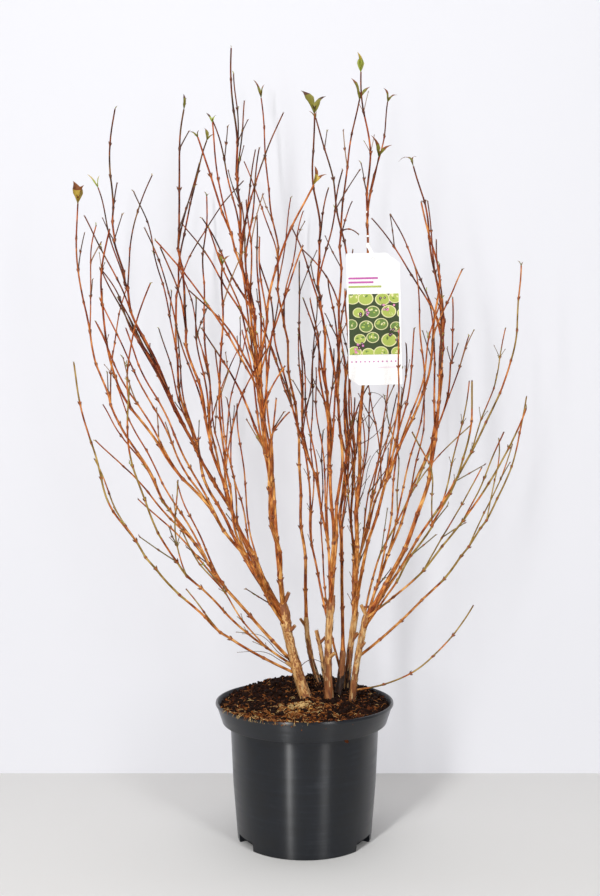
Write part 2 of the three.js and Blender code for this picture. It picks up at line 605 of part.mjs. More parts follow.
function place(name, geometry, finish) {
  const mesh = new THREE.Mesh(geometry, new THREE.MeshStandardMaterial(FINISH[finish]));
  mesh.name = name;
  plant.add(mesh);
}

place('pot', geometryOf(makePot()), 'pot');
place('potting_soil', geometryOf(makeSoil()), 'soil');
const before = {};
for (const name of Object.keys(STEMS)) {
  place(`stem_${name}`, geometryOf(makeStem(name)), 'stem');
  before[name] = [];
}
for (const [name, cane] of Object.entries(CANES)) {
  const sweep = caneSweeps[name];
  const mass = makeMass(name);
  if (cane.massFrom > 0) {
    const steps = Math.ceil(9 * cane.massFrom + 2);
    const bough = limbSolid(sweep, 0, cane.massFrom, caneRadius(cane), 6, steps);
    place(`bough_${name}`, geometryOf(seated(bough, name, before[cane.stem])), 'cane');
    place(`twigs_${name}`, geometryOf(largestPiece(mass)), 'twig');
  } else {
    place(`twigs_${name}`, geometryOf(seated(mass, name, before[cane.stem])), 'twig');
  }
  before[cane.stem].push(name);
}
place('hang_tag', makeTag(), 'card');
place('tag_strap', geometryOf(makeStrap()), 'card');

export default plant;
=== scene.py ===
# A weigela in early spring in its nursery pot, dressed for rendering. The canes, shoots and
# twigs grow by the same rule as the solids', from the same sizes, and carry on to finer spurs,
# buds and young leaves. Sizes are in millimetres until a mesh is made.
import json
import math

import bmesh
import bpy
import numpy as np
from mathutils import Matrix, Vector, noise

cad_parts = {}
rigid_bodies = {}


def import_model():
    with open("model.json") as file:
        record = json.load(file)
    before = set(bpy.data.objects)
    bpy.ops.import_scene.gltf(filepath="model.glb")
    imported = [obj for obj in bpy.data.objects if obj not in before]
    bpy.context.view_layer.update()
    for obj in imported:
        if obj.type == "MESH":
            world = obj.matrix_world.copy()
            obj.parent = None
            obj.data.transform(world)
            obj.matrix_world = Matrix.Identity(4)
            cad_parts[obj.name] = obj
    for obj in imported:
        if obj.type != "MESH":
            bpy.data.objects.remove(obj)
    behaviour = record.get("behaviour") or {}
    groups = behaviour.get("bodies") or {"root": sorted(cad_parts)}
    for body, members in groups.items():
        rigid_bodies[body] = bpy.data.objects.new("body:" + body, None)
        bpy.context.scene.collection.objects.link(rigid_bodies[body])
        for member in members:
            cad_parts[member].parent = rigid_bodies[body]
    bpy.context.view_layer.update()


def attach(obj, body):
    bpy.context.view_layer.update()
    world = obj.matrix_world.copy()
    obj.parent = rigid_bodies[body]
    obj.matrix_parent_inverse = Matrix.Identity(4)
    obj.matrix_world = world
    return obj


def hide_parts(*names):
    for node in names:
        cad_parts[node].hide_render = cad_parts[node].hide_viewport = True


MM = 0.001
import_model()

# ---------------------------------------------------------------- sizes of the plant

STEMS = {
    "left": dict(foot=(2, 5, 233), head=(-38, 8, 394), bow=(-4, 0, 0), thick=(19, 14)),
    "back": dict(foot=(26, 70, 242), head=(3, 75, 358), bow=(-5, 0, 0), thick=(10, 8)),
    "back_stub": dict(foot=(37, 78, 243), head=(21, 80, 334), bow=(2, 0, 0), thick=(8, 6.5)),
    "centre": dict(foot=(42, -2, 231), head=(47, 0, 408), bow=(-4, 0, 0), thick=(14, 11)),
    "dark": dict(foot=(58, 28, 233), head=(67, 36, 312), bow=(2, 0, 0), thick=(13, 10.5)),
    "right_back": dict(foot=(75, 58, 238), head=(90, 46, 372), bow=(-2, 0, 0), thick=(11, 10)),
    "right": dict(foot=(81, -4, 230), head=(106, -10, 378), bow=(-3, 0, 0), thick=(10.5, 9.5)),
}

# name: stem, share of its height, tip, bow, sway, thickness, where its mass starts,
# leaf length at the tip, seed, bark (0 orange to 1 dark), shoots as share, tip, leaf length
CANES = {
    "crown_top": ("left", 0.9, (-130, 90, 1376), (-10, 10, 0), 5, 9, 0.25, 14, 11, 0.75, (
        (0.27, -90, -30, 855), (0.3, -50, 80, 925), (0.26, -165, -55, 855),
        (0.28, -110, 0, 1075), (0.33, -85, 130, 1085), (0.4, -195, -15, 925),
        (0.46, -220, 135, 1070), (0.51, -175, 25, 1055), (0.56, -75, 20, 1175),
        (0.61, -90, 120, 1200), (0.65, -40, 50, 1245), (0.66, -160, 10, 1220),
        (0.74, -110, 122, 1290), (0.76, -120, 66, 1320))),
    "tall_bud": ("left", 0.8, (-194, -110, 1202), (-65, -10, -15), 0, 6.5, 0.36, 22, 12, 0.8, (
        (0.37, -180, -40, 905), (0.38, -215, -25, 865), (0.6, -225, -150, 970),
        (0.75, -175, -60, 1125))),
    "back_left_tall": ("left", 0.84, (-180, 200, 1243), (-120, 25, -25), 0, 6.5, 0.36, 24, 13,
        0.7, (
        (0.37, -230, 110, 875), (0.38, -270, 165, 880), (0.57, -320, 205, 1145),
        (0.62, -285, 110, 1055), (0.7, -120, 260, 1180))),
    "far_left_dark": ("left", 0.86, (-335, 60, 1255), (-70, 5, -20), 18, 7, 0.2, 0, 14, 0.85, (
        (0.22, -335, -60, 950), (0.27, -300, -95, 900), (0.28, -360, 75, 975),
        (0.34, -285, -15, 865), (0.4, -340, 125, 930), (0.62, -375, -10, 1050),
        (0.66, -275, 105, 1150), (0.67, -362, 25, 1108, 24), (0.79, -335, 82, 1130))),
    "left_front_arch": ("left", 0.76, (-305, -160, 995), (-65, -15, -15), 30, 6.5, 0.26, 0, 15,
        0.3, (
        (0.28, -280, -150, 845), (0.33, -335, -60, 905), (0.42, -330, -150, 855),
        (0.6, -230, -240, 900))),
    "left_leafy": ("left", 0.34, (-410, 110, 1100), (-88, 15, -40), 10, 6, 0.18, 40, 16, 0.2, (
        (0.19, -285, 20, 570), (0.2, -230, 105, 595), (0.22, -325, 10, 765),
        (0.29, -360, 40, 670), (0.39, -370, 135, 735), (0.6, -330, 170, 960),
        (0.75, -365, 60, 1050))),
    "low_left_long": ("left", 0.24, (-375, -90, 795), (-70, -10, -55), 0, 4.6, 0.19, 0, 17, 0.15, (
        (0.22, -200, -25, 420), (0.5, -330, -150, 640))),
    "low_left_front": ("left", 0.32, (-270, -200, 750), (-60, -15, -40), 10, 4, 0, 0, 18, 0.3, (
        (0.12, -235, -80, 575), (0.45, -190, -240, 610))),
    "front_sprout": ("left", 0.72, (-120, -240, 930), (-50, -15, -15), -5, 4.6, 0, 18, 19, 0.4, (
        (0.12, -110, -80, 730), (0.25, -140, -150, 810), (0.5, -60, -265, 800))),
    "front_fork": ("left", 0.93, (-165, -200, 1130), (30, -20, 0), -10, 7, 0.26, 14, 20, 0.3, (
        (0.27, -100, -70, 850), (0.28, -100, -170, 955), (0.47, -225, -185, 975),
        (0.5, -145, -225, 985), (0.62, -90, -110, 1055), (0.81, -140, -225, 1145, 14))),
    "back_slender": ("left", 0.88, (-195, 300, 1160), (-65, 40, -30), -10, 5, 0, 12, 21, 0.6, (
        (0.12, -140, 100, 745), (0.22, -195, 225, 855), (0.3, -110, 235, 885),
        (0.45, -130, 290, 860), (0.6, -240, 255, 1010))),
    "back_mid_tall": ("back", 0.92, (-85, 270, 1345), (10, 25, -5), 5, 6.5, 0.34, 34, 22, 0.4, (
        (0.36, -80, 220, 885), (0.55, 0, 300, 1130), (0.62, -25, 200, 1130),
        (0.68, -120, 310, 1230))),
    "thin_dark": ("dark", 0.45, (-10, 160, 1005), (-25, 10, -5), -5, 4.6, 0, 0, 23, 0.9, (
        (0.12, 35, 150, 690), (0.3, 25, 215, 940), (0.55, 30, 210, 880))),
    "front_leaner": ("left", 0.96, (10, -310, 1030), (-50, -25, -5), 15, 6.5, 0.24, 24, 24, 0.25, (
        (0.25, -65, -140, 860), (0.26, -75, -150, 835), (0.33, -45, -245, 730),
        (0.41, -25, -280, 710), (0.5, -30, -215, 780), (0.6, 0, -270, 950),
        (0.72, -65, -250, 965))),
    "centre_leafy": ("centre", 0.86, (15, -90, 1200), (5, -10, 0), 5, 7, 0.28, 38, 25, 0.75, (
        (0.29, 10, -125, 895), (0.3, 60, -60, 855), (0.45, 0, -20, 910), (0.62, -20, -40, 1025),
        (0.75, 40, -45, 1090), (0.66, 60, -150, 1090))),
    "centre_back": ("centre", 0.92, (100, 150, 1303), (-10, 20, -5), 10, 6.5, 0.38, 36, 26, 0.6, (
        (0.39, 40, -95, 930), (0.4, 40, 110, 875), (0.5, 90, 150, 1025), (0.58, 0, 100, 1015),
        (0.7, 90, 215, 1130), (0.73, 100, 170, 1060))),
    "crossing": ("centre", 0.76, (-75, 60, 985), (15, 5, -5), 12, 5, 0, 0, 38, 0.6, (
        (0.12, 20, 95, 800), (0.2, 50, 30, 830), (0.3, -10, 120, 875), (0.45, -10, 100, 860),
        (0.6, -75, 10, 880))),
    "behind_tag": ("dark", 0.93, (20, 120, 1260), (35, 10, 5), -15, 6.5, 0.15, 16, 27, 0.85, (
        (0.16, 80, -65, 740), (0.17, 80, 90, 745), (0.24, 112, 125, 760), (0.35, 130, 135, 790),
        (0.55, 130, 205, 980))),
    "tag_cane": ("right_back", 0.95, (100, 20, 1307), (10, -5, 0), -5, 8.5, 0.705, 30, 28, 0.5, (
        (0.72, 125, -35, 1145, 32), (0.74, 150, 60, 1270, 28))),
    "under_tag": ("right_back", 0.78, (72, 60, 937), (5, 0, 0), 0, 5, 0, 0, 39, 0.45, (
        (0.07, 105, 95, 710), (0.14, 120, 70, 755), (0.3, 40, -20, 825), (0.45, 60, 20, 860))),
    "inner_right": ("right_back", 0.85, (185, -140, 1045), (35, -15, -5), -25, 6.5, 0.36, 0, 29,
        0.3, (
        (0.37, 160, -20, 860), (0.38, 185, -50, 855), (0.45, 215, -130, 895),
        (0.58, 180, -80, 950), (0.7, 240, -190, 930))),
    "right_tall": ("right", 0.93, (195, 80, 1160), (90, 10, -10), 5, 8.5, 0.31, 30, 30, 0.6, (
        (0.33, 255, 150, 895), (0.4, 215, 60, 935), (0.48, 225, -30, 965), (0.57, 235, 60, 1025),
        (0.6, 160, 115, 1080), (0.63, 120, 30, 1055), (0.66, 225, 120, 1105))),
    "right_companion": ("right", 0.9, (275, 150, 935), (28, 15, -10), -12, 5.5, 0, 0, 40, 0.35, (
        (0.12, 165, 10, 725), (0.2, 250, 205, 885), (0.4, 225, 190, 800), (0.6, 300, 110, 860))),
    "far_right": ("right", 0.88, (385, 90, 985), (50, 10, -20), -15, 5, 0.33, 10, 31, 0.15, (
        (0.35, 290, 50, 775), (0.5, 375, 160, 880))),
    "right_front": ("right", 0.95, (345, -150, 720), (20, -15, -20), 0, 4, 0.28, 0, 32, 0.1, (
        (0.3, 290, -60, 625), (0.55, 300, -190, 680))),
    "right_low": ("right", 0.5, (420, 200, 755), (45, 25, -50), -10, 4.8, 0.46, 0, 33, 0.1, (
        (0.5, 395, 190, 665), (0.6, 350, 100, 675))),
    "front_right_thin": ("right", 0.82, (240, -270, 755), (30, -10, -15), -10, 3.8, 0, 0, 34,
        0.3, (
        (0.5, 150, -300, 680),)),
    "back_right_thin": ("right", 0.74, (275, 300, 785), (0, 30, -20), -15, 4.4, 0, 0, 35, 0.3, (
        (0.45, 160, 290, 760), (0.6, 320, 250, 700))),
    "beside_tag": ("right_back", 0.74, (195, 250, 860), (5, 20, -10), -15, 5.4, 0, 0, 36, 0.4, (
        (0.1, 140, 70, 710), (0.35, 165, 200, 865), (0.2, 75, 160, 840), (0.25, 170, 140, 755),
        (0.5, 110, 270, 820))),
    "low_right_shoot": ("right", 0.12, (305, 120, 370), (15, 10, -35), 0, 3, 0, 0, 37, 0.3, ()),
}
FIELDS = ("stem", "at", "tip", "bow", "sway", "thick", "mass_from", "leaf", "seed", "dark",
          "shoots")
CANES = {name: dict(zip(FIELDS, row)) for name, row in CANES.items()}

CANE_TIP_RADIUS, CANE_TAPER = 1.35, 0.8
SHOOT_THICKNESS, SHOOT_TIP_RADIUS, SHOOT_BEND = 0.74, 1.15, 0.36
STEM_FLARE, FLARE_FADE = 0.14, 14  # the swelling at a stem's foot, and how fast it goes
JOINT_SPACING = 58
TWIG = dict(chance=0.07, shortest=26, longest=78, radius=1.2, tip_radius=0.9, angle=0.45)
SPUR = dict(chance=0.08, shortest=9, longest=30, radius=0.75, tip_radius=0.5, angle=0.5)
SHORT_BIAS, TWIG_RISE = 1.5, 0.25  # most twigs are short, and their tips turn up
BARE_START = 0.04  # no twig or spur grows this near a line's start, as a share of it
TWIG_ROOM, BALL_SPACING, CANE_ROOM_FROM = 2.5, 6, 0.06
CROWN = dict(radius=452, top=1385, bottom=300)
LEAF_SPREAD, LEAF_REACH, LEAF_HALF_WIDTH, SECOND_LEAF = 0.3, 0.88, 0.12, 0.8

POT = dict(height=230, rim=151, foot=113.5, middle=121.2, middle_height=95, neck=126,
           neck_height=195, collar=139.5, wall=2.2, lip=4, lip_hang=5, floor=20)
DRAIN = dict(count=3, width=48, height=14.5, back=98.5, first=-30)
SOIL_LEVEL = 222
HEAPS = ((40, 0, 8, 60, 60), (0, 95, 22, 75, 48))  # x, y, height, spread along x and y

TAG = dict(hole=(117.5, 8, 983), tilt=1.2, thickness=0.9, hole_radius=2.6, left=-46,
           right=45.5, top=10, bottom=-216, cut_top=(23, 18), cut_bottom=(18, 12))
STRAP = dict(at=0.683, width=9, thickness=1.2, tail_width=6, tail_thickness=1.0, tail_gap=1.1,
             narrow_at=(0.7, 0.745))

# ---------------------------------------------------------------- colours and materials


def tone(code):
    """A colour written as sRGB hex, as the linear numbers that a shader takes."""
    parts = [int(code[i:i + 2], 16) / 255 for i in (1, 3, 5)]
    return (*[p / 12.92 if p <= 0.04045 else ((p + 0.055) / 1.055) ** 2.4 for p in parts], 1.0)


def add(tree, kind, inputs=None, stops=(), **settings):
    """One node: its settings, a ramp's stops, and inputs that are values, sockets or nodes."""
    made = tree.nodes.new("ShaderNode" + kind)
    for key, value in settings.items():
        setattr(made, key, value)
    for key, value in (inputs or {}).items():
        if isinstance(value, bpy.types.Node):
            value = value.outputs[0]
        if isinstance(value, bpy.types.NodeSocket):
            tree.links.new(value, made.inputs[key])
        else:
            made.inputs[key].default_value = value
    if stops:
        elements = made.color_ramp.elements
        for element, (place, code) in ((elements[0], stops[0]), (elements[1], stops[-1])):
            element.position, element.color = place, tone(code)
        for place, code in stops[1:-1]:
            elements.new(place).color = tone(code)
    return made


def surface(name, roughness, specular=0.5):
    """A new material: its node tree and its shader."""
    made = bpy.data.materials.new(name)
    made.use_nodes = True
    shader = made.node_tree.nodes["Principled BSDF"]
    shader.inputs["Roughness"].default_value = roughness
    shader.inputs["Specular IOR Level"].default_value = specular
    return made, made.node_tree, shader


UNEVEN_GLOSS = 0.08  # how far the roughness of grown things strays from its middle


def grained(name, stops, roughness, size, patch=None, relief=0.0, coords="UV", detail=4,
            specular=0.5):
    """Colour, gloss and relief from a grain of size = (x, y, z) mm, over patches in mm."""
    made, tree, shader = surface(name, roughness, specular)
    place = add(tree, "TexCoord").outputs[coords]
    scaled = add(tree, "Mapping", {"Vector": place, "Scale": [1 / (s * MM) for s in size]})
    grain = add(tree, "TexNoise", {"Vector": scaled, "Scale": 1.0, "Detail": detail,
                                   "Roughness": 0.6})
    mixed = grain
    if patch:
        broad_place = add(tree, "Mapping", {"Vector": place,
                                            "Scale": [1 / (s * MM) for s in patch]})
        broad = add(tree, "TexNoise", {"Vector": broad_place, "Scale": 1.0, "Detail": 2})
        mixed = add(tree, "Mix", {"Factor": 0.5, "A": grain.outputs[0], "B": broad.outputs[0]})
    colour = add(tree, "ValToRGB", {"Fac": mixed}, stops)
    tree.links.new(colour.outputs["Color"], shader.inputs["Base Color"])
    gloss = add(tree, "MapRange", {"Value": grain, "From Min": 0.3, "From Max": 0.7,
                                   "To Min": roughness - UNEVEN_GLOSS,
                                   "To Max": roughness + UNEVEN_GLOSS})
    tree.links.new(gloss.outputs["Result"], shader.inputs["Roughness"])
    if relief:
        bump = add(tree, "Bump", {"Height": grain, "Strength": 0.7, "Distance": relief * MM})
        tree.links.new(bump.outputs["Normal"], shader.inputs["Normal"])
    return made


# Weigela bark of one to three years: thin, smooth and slightly waxed, so that a bright line
# runs down its lit side. Fibres give fine streaks along it, and weather leaves longer patches.
FIBRES, PATCHES = (1.1, 12, 1), (7, 26, 1)
BARK = [grained(name, stops, gloss, FIBRES, PATCHES, 0.12, specular=0.14)
        for name, gloss, stops in (
    ("bark_gold_brown", 0.45, ((0.38, "#56290f"), (0.49, "#a86226"), (0.61, "#e8b066"))),
    ("bark_russet", 0.45, ((0.38, "#471d0a"), (0.49, "#984a1b"), (0.61, "#dc944d"))),
    ("bark_red_brown", 0.45, ((0.38, "#341006"), (0.49, "#7e300f"), (0.61, "#c67034"))),
    ("bark_dark_red", 0.48, ((0.38, "#220a04"), (0.49, "#501d0b"), (0.61, "#935026"))),
    ("bark_umber", 0.5, ((0.38, "#1d0e06"), (0.49, "#472810"), (0.61, "#886035"))),
    ("bark_olive_tan", 0.48, ((0.37, "#4a3414"), (0.49, "#86682e"), (0.64, "#bd9f5c"))),
)]
# joints: ringed by leaf scars, so darker, corky and dull
JOINT = [grained(name, stops, 0.58, (1.5, 2, 1), relief=0.3) for name, stops in (
    ("joint_scar_brown", ((0.3, "#6e3211"), (0.7, "#a85c26"))),
    ("joint_scar_dark", ((0.3, "#2c1209"), (0.7, "#5e3018"))),
)]
# last year's thinnest growth: matt, tan, olive or brown
TWIG_BARK = [grained(name, stops, 0.55, (0.8, 10, 1)) for name, stops in (
    ("twig_tan", ((0.3, "#6e4620"), (0.7, "#a07444"))),
    ("twig_olive", ((0.3, "#54431f"), (0.7, "#7f6e3c"))),
    ("twig_brown", ((0.3, "#351c10"), (0.7, "#5f3a22"))),
)]
# old stems: dry bark that splits lengthwise into pale straw strips over darker cracks
STRIPS, OLD_PATCHES = (1.6, 13, 1), (7, 30, 1)
OLD_BARK, OLD_BARK_RED, OLD_BARK_DAMP_AND_SHADE = (
    grained(name, stops, gloss, STRIPS, patches, 0.9, detail=6)
    for name, gloss, patches, stops in (
        ("old_bark_straw", 0.78, OLD_PATCHES, (
            (0.3, "#5c3416"), (0.43, "#a26c36"), (0.55, "#d0a266"), (0.72, "#f0d49c"))),
        ("old_bark_red_brown", 0.72, OLD_PATCHES, (
            (0.3, "#48240f"), (0.5, "#8a5026"), (0.7, "#bb8650"))),
        # damp bark at a stem's foot, and painted shade: near black over the lower parts of the
        # stems at the back
        ("old_bark_damp_and_shade", 0.7, None, (
            (0.3, "#140b07"), (0.5, "#2c190f"), (0.72, "#553520"))),
    ))
# sawn ends: dry wood, pale and rough
CUT_WOOD = grained("sawn_wood_end", ((0.3, "#8f7047"), (0.7, "#cbb188")), 0.85, (2.2, 2.2, 2.2),
                   relief=0.25)
# loose strips of the same bark, paler on their dry inner side
FLAKE = grained("bark_flake", ((0.3, "#a0743f"), (0.7, "#dfc292")), 0.8, (1.5, 9, 1))
# scaly winter buds, brown outside, with green showing where they open
BUD = [grained(name, stops, 0.5, (1.5, 3, 1)) for name, stops in (
    ("bud_scale_brown", ((0.3, "#43200c"), (0.7, "#80481e"))),
    ("bud_scale_green", ((0.3, "#6a6a2a"), (0.7, "#94904a"))),
)]
# young leaves: thin, soft and slightly downy, fresh at their base and frost-browned at the end
LEAF = [grained(name, stops, 0.5, (3, 6, 3), (9, 14, 9), 0.15, specular=0.35)
        for name, stops in (
    ("leaf_fresh_green", ((0.3, "#7f8c33"), (0.7, "#b0b455"))),
    ("leaf_olive", ((0.3, "#5a581a"), (0.7, "#8f8636"))),
    ("leaf_gold", ((0.3, "#98802c"), (0.7, "#c2a84e"))),
    ("leaf_bronze", ((0.3, "#5f3416"), (0.7, "#905424"))),
    ("leaf_browned", ((0.3, "#341b10"), (0.7, "#5f371b"))),
)]
# damp compost: composted bark, peat and coir; near black where wet, rust-brown where dry
COMPOST = grained("compost_damp", ((0.34, "#0b0402"), (0.5, "#261108"), (0.68, "#5a2f13")), 0.92,
                  (3.2, 3.2, 3.2), (17, 17, 17), 1.6, "Object", 8, 0.12)
CRUMB = [grained(name, stops, gloss, size, None, relief, "Object", specular=0.14)
         for name, gloss, size, relief, stops in (
    ("crumb_wet_dark", 0.85, (2, 2, 2), 0.4, ((0.3, "#0b0402"), (0.7, "#261107"))),
    ("crumb_brown", 0.9, (2, 2, 2), 0.4, ((0.3, "#2e1507"), (0.7, "#643214"))),
    ("bark_chip", 0.85, (1.5, 5, 1.5), 0.3, ((0.3, "#56290b"), (0.7, "#9c5c26"))),
    ("crumb_dry_gold", 0.85, (2, 2, 2), 0.4, ((0.3, "#90571f"), (0.7, "#d09a50"))),
)]
FIBRE = [grained(name, stops, gloss, (1, 6, 1)) for name, gloss, stops in (
    ("coir_fibre_brown", 0.8, ((0.3, "#6a380f"), (0.7, "#b0702e"))),
    ("coir_fibre_straw", 0.75, ((0.3, "#a8803f"), (0.7, "#e2c58a"))),
)]


def pot_plastic():
    """Moulded recycled polypropylene: slate black, drawn in rings by the mould, so that each
    light is smeared into an upright streak, with a little dry dust and a few scuffs."""
    made, tree, shader = surface("pot_recycled_plastic", 0.36, 0.55)
    shader.inputs["Anisotropic"].default_value = 1.0
    shader.inputs["Anisotropic Rotation"].default_value = 0.25
    rings = add(tree, "Tangent", direction_type="RADIAL", axis="Z")
    tree.links.new(rings.outputs["Tangent"], shader.inputs["Tangent"])
    place = add(tree, "TexCoord").outputs["Object"]
    cloud = add(tree, "TexNoise", {"Vector": place, "Scale": 26.0, "Detail": 5})
    streak_place = add(tree, "Mapping", {"Vector": place, "Scale": (14, 14, 160)})
    streak = add(tree, "TexNoise", {"Vector": streak_place, "Scale": 1.0, "Detail": 3})
    dust = add(tree, "Math", {0: cloud, 1: streak}, operation="MULTIPLY")
    colour = add(tree, "ValToRGB", {"Fac": dust},
                 ((0.14, "#0c0f14"), (0.3, "#11151c"), (0.44, "#1f2228")))
    tree.links.new(colour.outputs["Color"], shader.inputs["Base Color"])
    gloss = add(tree, "MapRange", {"Value": dust, "From Min": 0.12, "From Max": 0.42,
                                   "To Min": 0.3, "To Max": 0.4})
    tree.links.new(gloss.outputs["Result"], shader.inputs["Roughness"])
    fine = add(tree, "TexNoise", {"Vector": streak_place, "Scale": 6.0, "Detail": 2})
    bump = add(tree, "Bump", {"Height": fine, "Strength": 0.1, "Distance": 0.2 * MM})
    tree.links.new(bump.outputs["Normal"], shader.inputs["Normal"])
    return made


def printed(name, code):
    """Offset ink on a plastic card: an even colour with a faint fleck of the card's grain."""
    made, tree, shader = surface(name, 0.38)
    place = add(tree, "TexCoord").outputs["Object"]
    fleck = add(tree, "TexNoise", {"Vector": place, "Scale": 900.0, "Detail": 2})
    darker = "#" + "".join(f"{int(int(code[i:i + 2], 16) * 0.93):02x}" for i in (1, 3, 5))
    colour = add(tree, "ValToRGB", {"Fac": fleck}, ((0.3, darker), (0.6, code)))
    tree.links.new(colour.outputs["Color"], shader.inputs["Base Color"])
    return made


POT_PLASTIC = pot_plastic()
CARD = printed("tag_white_card", "#f6f5f3")
INKS = dict(deep_green="#33421f", mid_green="#64803a", light_green="#a9b956", cream="#e0dca6",
            pink="#dd77ae", magenta="#c05aa6", plum="#4e2436", pale_green="#d3dccb",
            pale_pink="#ecd6e4")
PRINT = [printed("ink_" + name, code) for name, code in INKS.items()]

# ---------------------------------------------------------------- mesh building


class Pile:
    """Corners, faces, material numbers and UVs of many small shapes, made into one mesh."""

    def __init__(self):
        self.corners, self.quads, self.triangles, self.count = [], [], [], 0

    def put(self, corners, quads=(), triangles=(), quad_uv=None, quad_tint=0, triangle_tint=0):
        for kept, faces, uv, tint, sides in ((self.quads, quads, quad_uv, quad_tint, 4),
                                             (self.triangles, triangles, None, triangle_tint, 3)):
            if len(faces):
                faces = np.asarray(faces, int)
                uv = np.zeros((len(faces), sides, 2)) if uv is None else np.asarray(uv)
                tint = np.broadcast_to(np.asarray(tint, int), len(faces))
                kept.append((faces + self.count, uv, tint))
        self.corners.append(np.asarray(corners, float))
        self.count += len(corners)

    def piece(self, name, materials, smooth=True):
        """The pile as an object in metres that rides on the one body."""
        mesh = bpy.data.meshes.new(name)
        corners = np.concatenate(self.corners) * MM
        loops, uvs, tints, sizes = [], [], [], []
        for kept, sides in ((self.quads, 4), (self.triangles, 3)):
            for faces, uv, tint in kept:
                loops.append(faces.ravel())
                uvs.append(uv.reshape(-1, 2))
                tints.append(tint)
                sizes.append(np.full(len(faces), sides))
        loops, uvs, tints, sizes = map(np.concatenate, (loops, uvs, tints, sizes))
        mesh.vertices.add(len(corners))
        mesh.vertices.foreach_set("co", corners.ravel())
        mesh.loops.add(len(loops))
        mesh.loops.foreach_set("vertex_index", loops)
        mesh.polygons.add(len(sizes))
        mesh.polygons.foreach_set("loop_start", np.concatenate(([0], np.cumsum(sizes)[:-1])))
        mesh.polygons.foreach_set("material_index", tints)
        mesh.polygons.foreach_set("use_smooth", np.full(len(sizes), smooth))
        layer = mesh.uv_layers.new(name="UVMap")
        layer.data.foreach_set("uv", uvs.astype(np.float32).ravel())
        for material in materials:
            mesh.materials.append(material)
        mesh.update(calc_edges=True)
        mesh.validate()
        made = bpy.data.objects.new(name, mesh)
        bpy.context.scene.collection.objects.link(made)
        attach(made, "root")
        return made


def in_order(shape):
    """Sorts the parts of a bmesh by place: the operators leave them in another order each run."""
    for parts, place in ((shape.verts, lambda corner: tuple(corner.co)),
                         (shape.edges, lambda edge: sorted(end.index for end in edge.verts)),
                         (shape.faces, lambda face: sorted(end.index for end in face.verts))):
        rank = {part: k for k, part in enumerate(sorted(parts, key=place))}
        parts.sort(key=rank.get)
        parts.index_update()


def object_of(shape, name, materials, sharp=None):
    """A finished bmesh as an object in the scene; smooth, but for edges past sharp degrees."""
    in_order(shape)
    mesh = bpy.data.meshes.new(name)
    shape.to_mesh(mesh)
    shape.free()
    for material in materials:
        mesh.materials.append(material)
    if sharp:
        mesh.polygons.foreach_set("use_smooth", np.ones(len(mesh.polygons), bool))
        mesh.set_sharp_from_angle(angle=math.radians(sharp))
    made = bpy.data.objects.new(name, mesh)
    bpy.context.scene.collection.objects.link(made)
    return made


def unit(vectors):
    return vectors / np.linalg.norm(vectors, axis=-1, keepdims=True)


def frames(line):
    """For each point of a line: the heading and two sides, turned as little as possible."""
    heading = unit(np.gradient(line, axis=0))
    side = np.array((0.0, 1.0, 0.0))
    if abs(side @ heading[0]) > 0.95:
        side = np.array((1.0, 0.0, 0.0))
    sides = np.empty_like(line)
    for i, along in enumerate(heading):
        side = side - along * (side @ along)
        side = side / np.linalg.norm(side)
        sides[i] = side
    return heading, sides, np.cross(sides, heading)


TIP_POINT, ROOT_POINT = 0.5, 0.3  # how far a tube's end points stand out, in radii
GRAIN_SHIFT = 9  # in m of UV, so that no two limbs have their grain in the same place


def tube(pile, line, radii, around, tint=0, relief=None, sides=None):
    """A round skin along a line of points, closed at each end by a low point."""
    heading, side, other = frames(line) if sides is None else sides
    turn = np.linspace(0, 2 * np.pi, around, endpoint=False)
    spread = np.asarray(radii)[:, None] * (1 if relief is None else relief)
    spread = np.broadcast_to(spread, (len(line), around))[..., None]
    skin = line[:, None] + spread * (
        np.cos(turn)[None, :, None] * side[:, None] + np.sin(turn)[None, :, None] * other[:, None])
    count = len(line)
    ends = [line[-1] + heading[-1] * radii[-1] * TIP_POINT,
            line[0] - heading[0] * radii[0] * ROOT_POINT]
    corners = np.concatenate((skin.reshape(-1, 3), ends))
    ring = np.arange(around)
    following = (ring + 1) % around
    base = (np.arange(count - 1) * around)[:, None]
    quads = np.stack((base + around + ring, base + around + following, base + following,
                      base + ring), -1).reshape(-1, 4)
    run = np.concatenate(([0], np.cumsum(np.linalg.norm(np.diff(line, axis=0), axis=1)))) * MM
    run = run + rough.uniform(0, GRAIN_SHIFT)
    girth = 2 * np.pi * float(np.mean(radii)) * MM
    u0, u1 = ring / around * girth, (ring + 1) / around * girth
    shape = (count - 1, around)
    v0, v1 = np.broadcast_to(run[:-1, None], shape), np.broadcast_to(run[1:, None], shape)
    u0, u1 = np.broadcast_to(u0, shape), np.broadcast_to(u1, shape)
    uv = np.stack((np.stack((u0, v1), -1), np.stack((u1, v1), -1),
                   np.stack((u1, v0), -1), np.stack((u0, v0), -1)), 2).reshape(-1, 4, 2)
    tint = np.broadcast_to(tint, count - 1)
    last = (count - 1) * around
    triangles = ([(last + (k + 1) % around, last + k, count * around) for k in ring]
                 + [(k, (k + 1) % around, count * around + 1) for k in ring])
    pile.put(corners, quads, triangles, quad_uv=uv, quad_tint=np.repeat(tint, around),
             triangle_tint=np.repeat((tint[-1], tint[0]), around))


# ---------------------------------------------------------------- growth


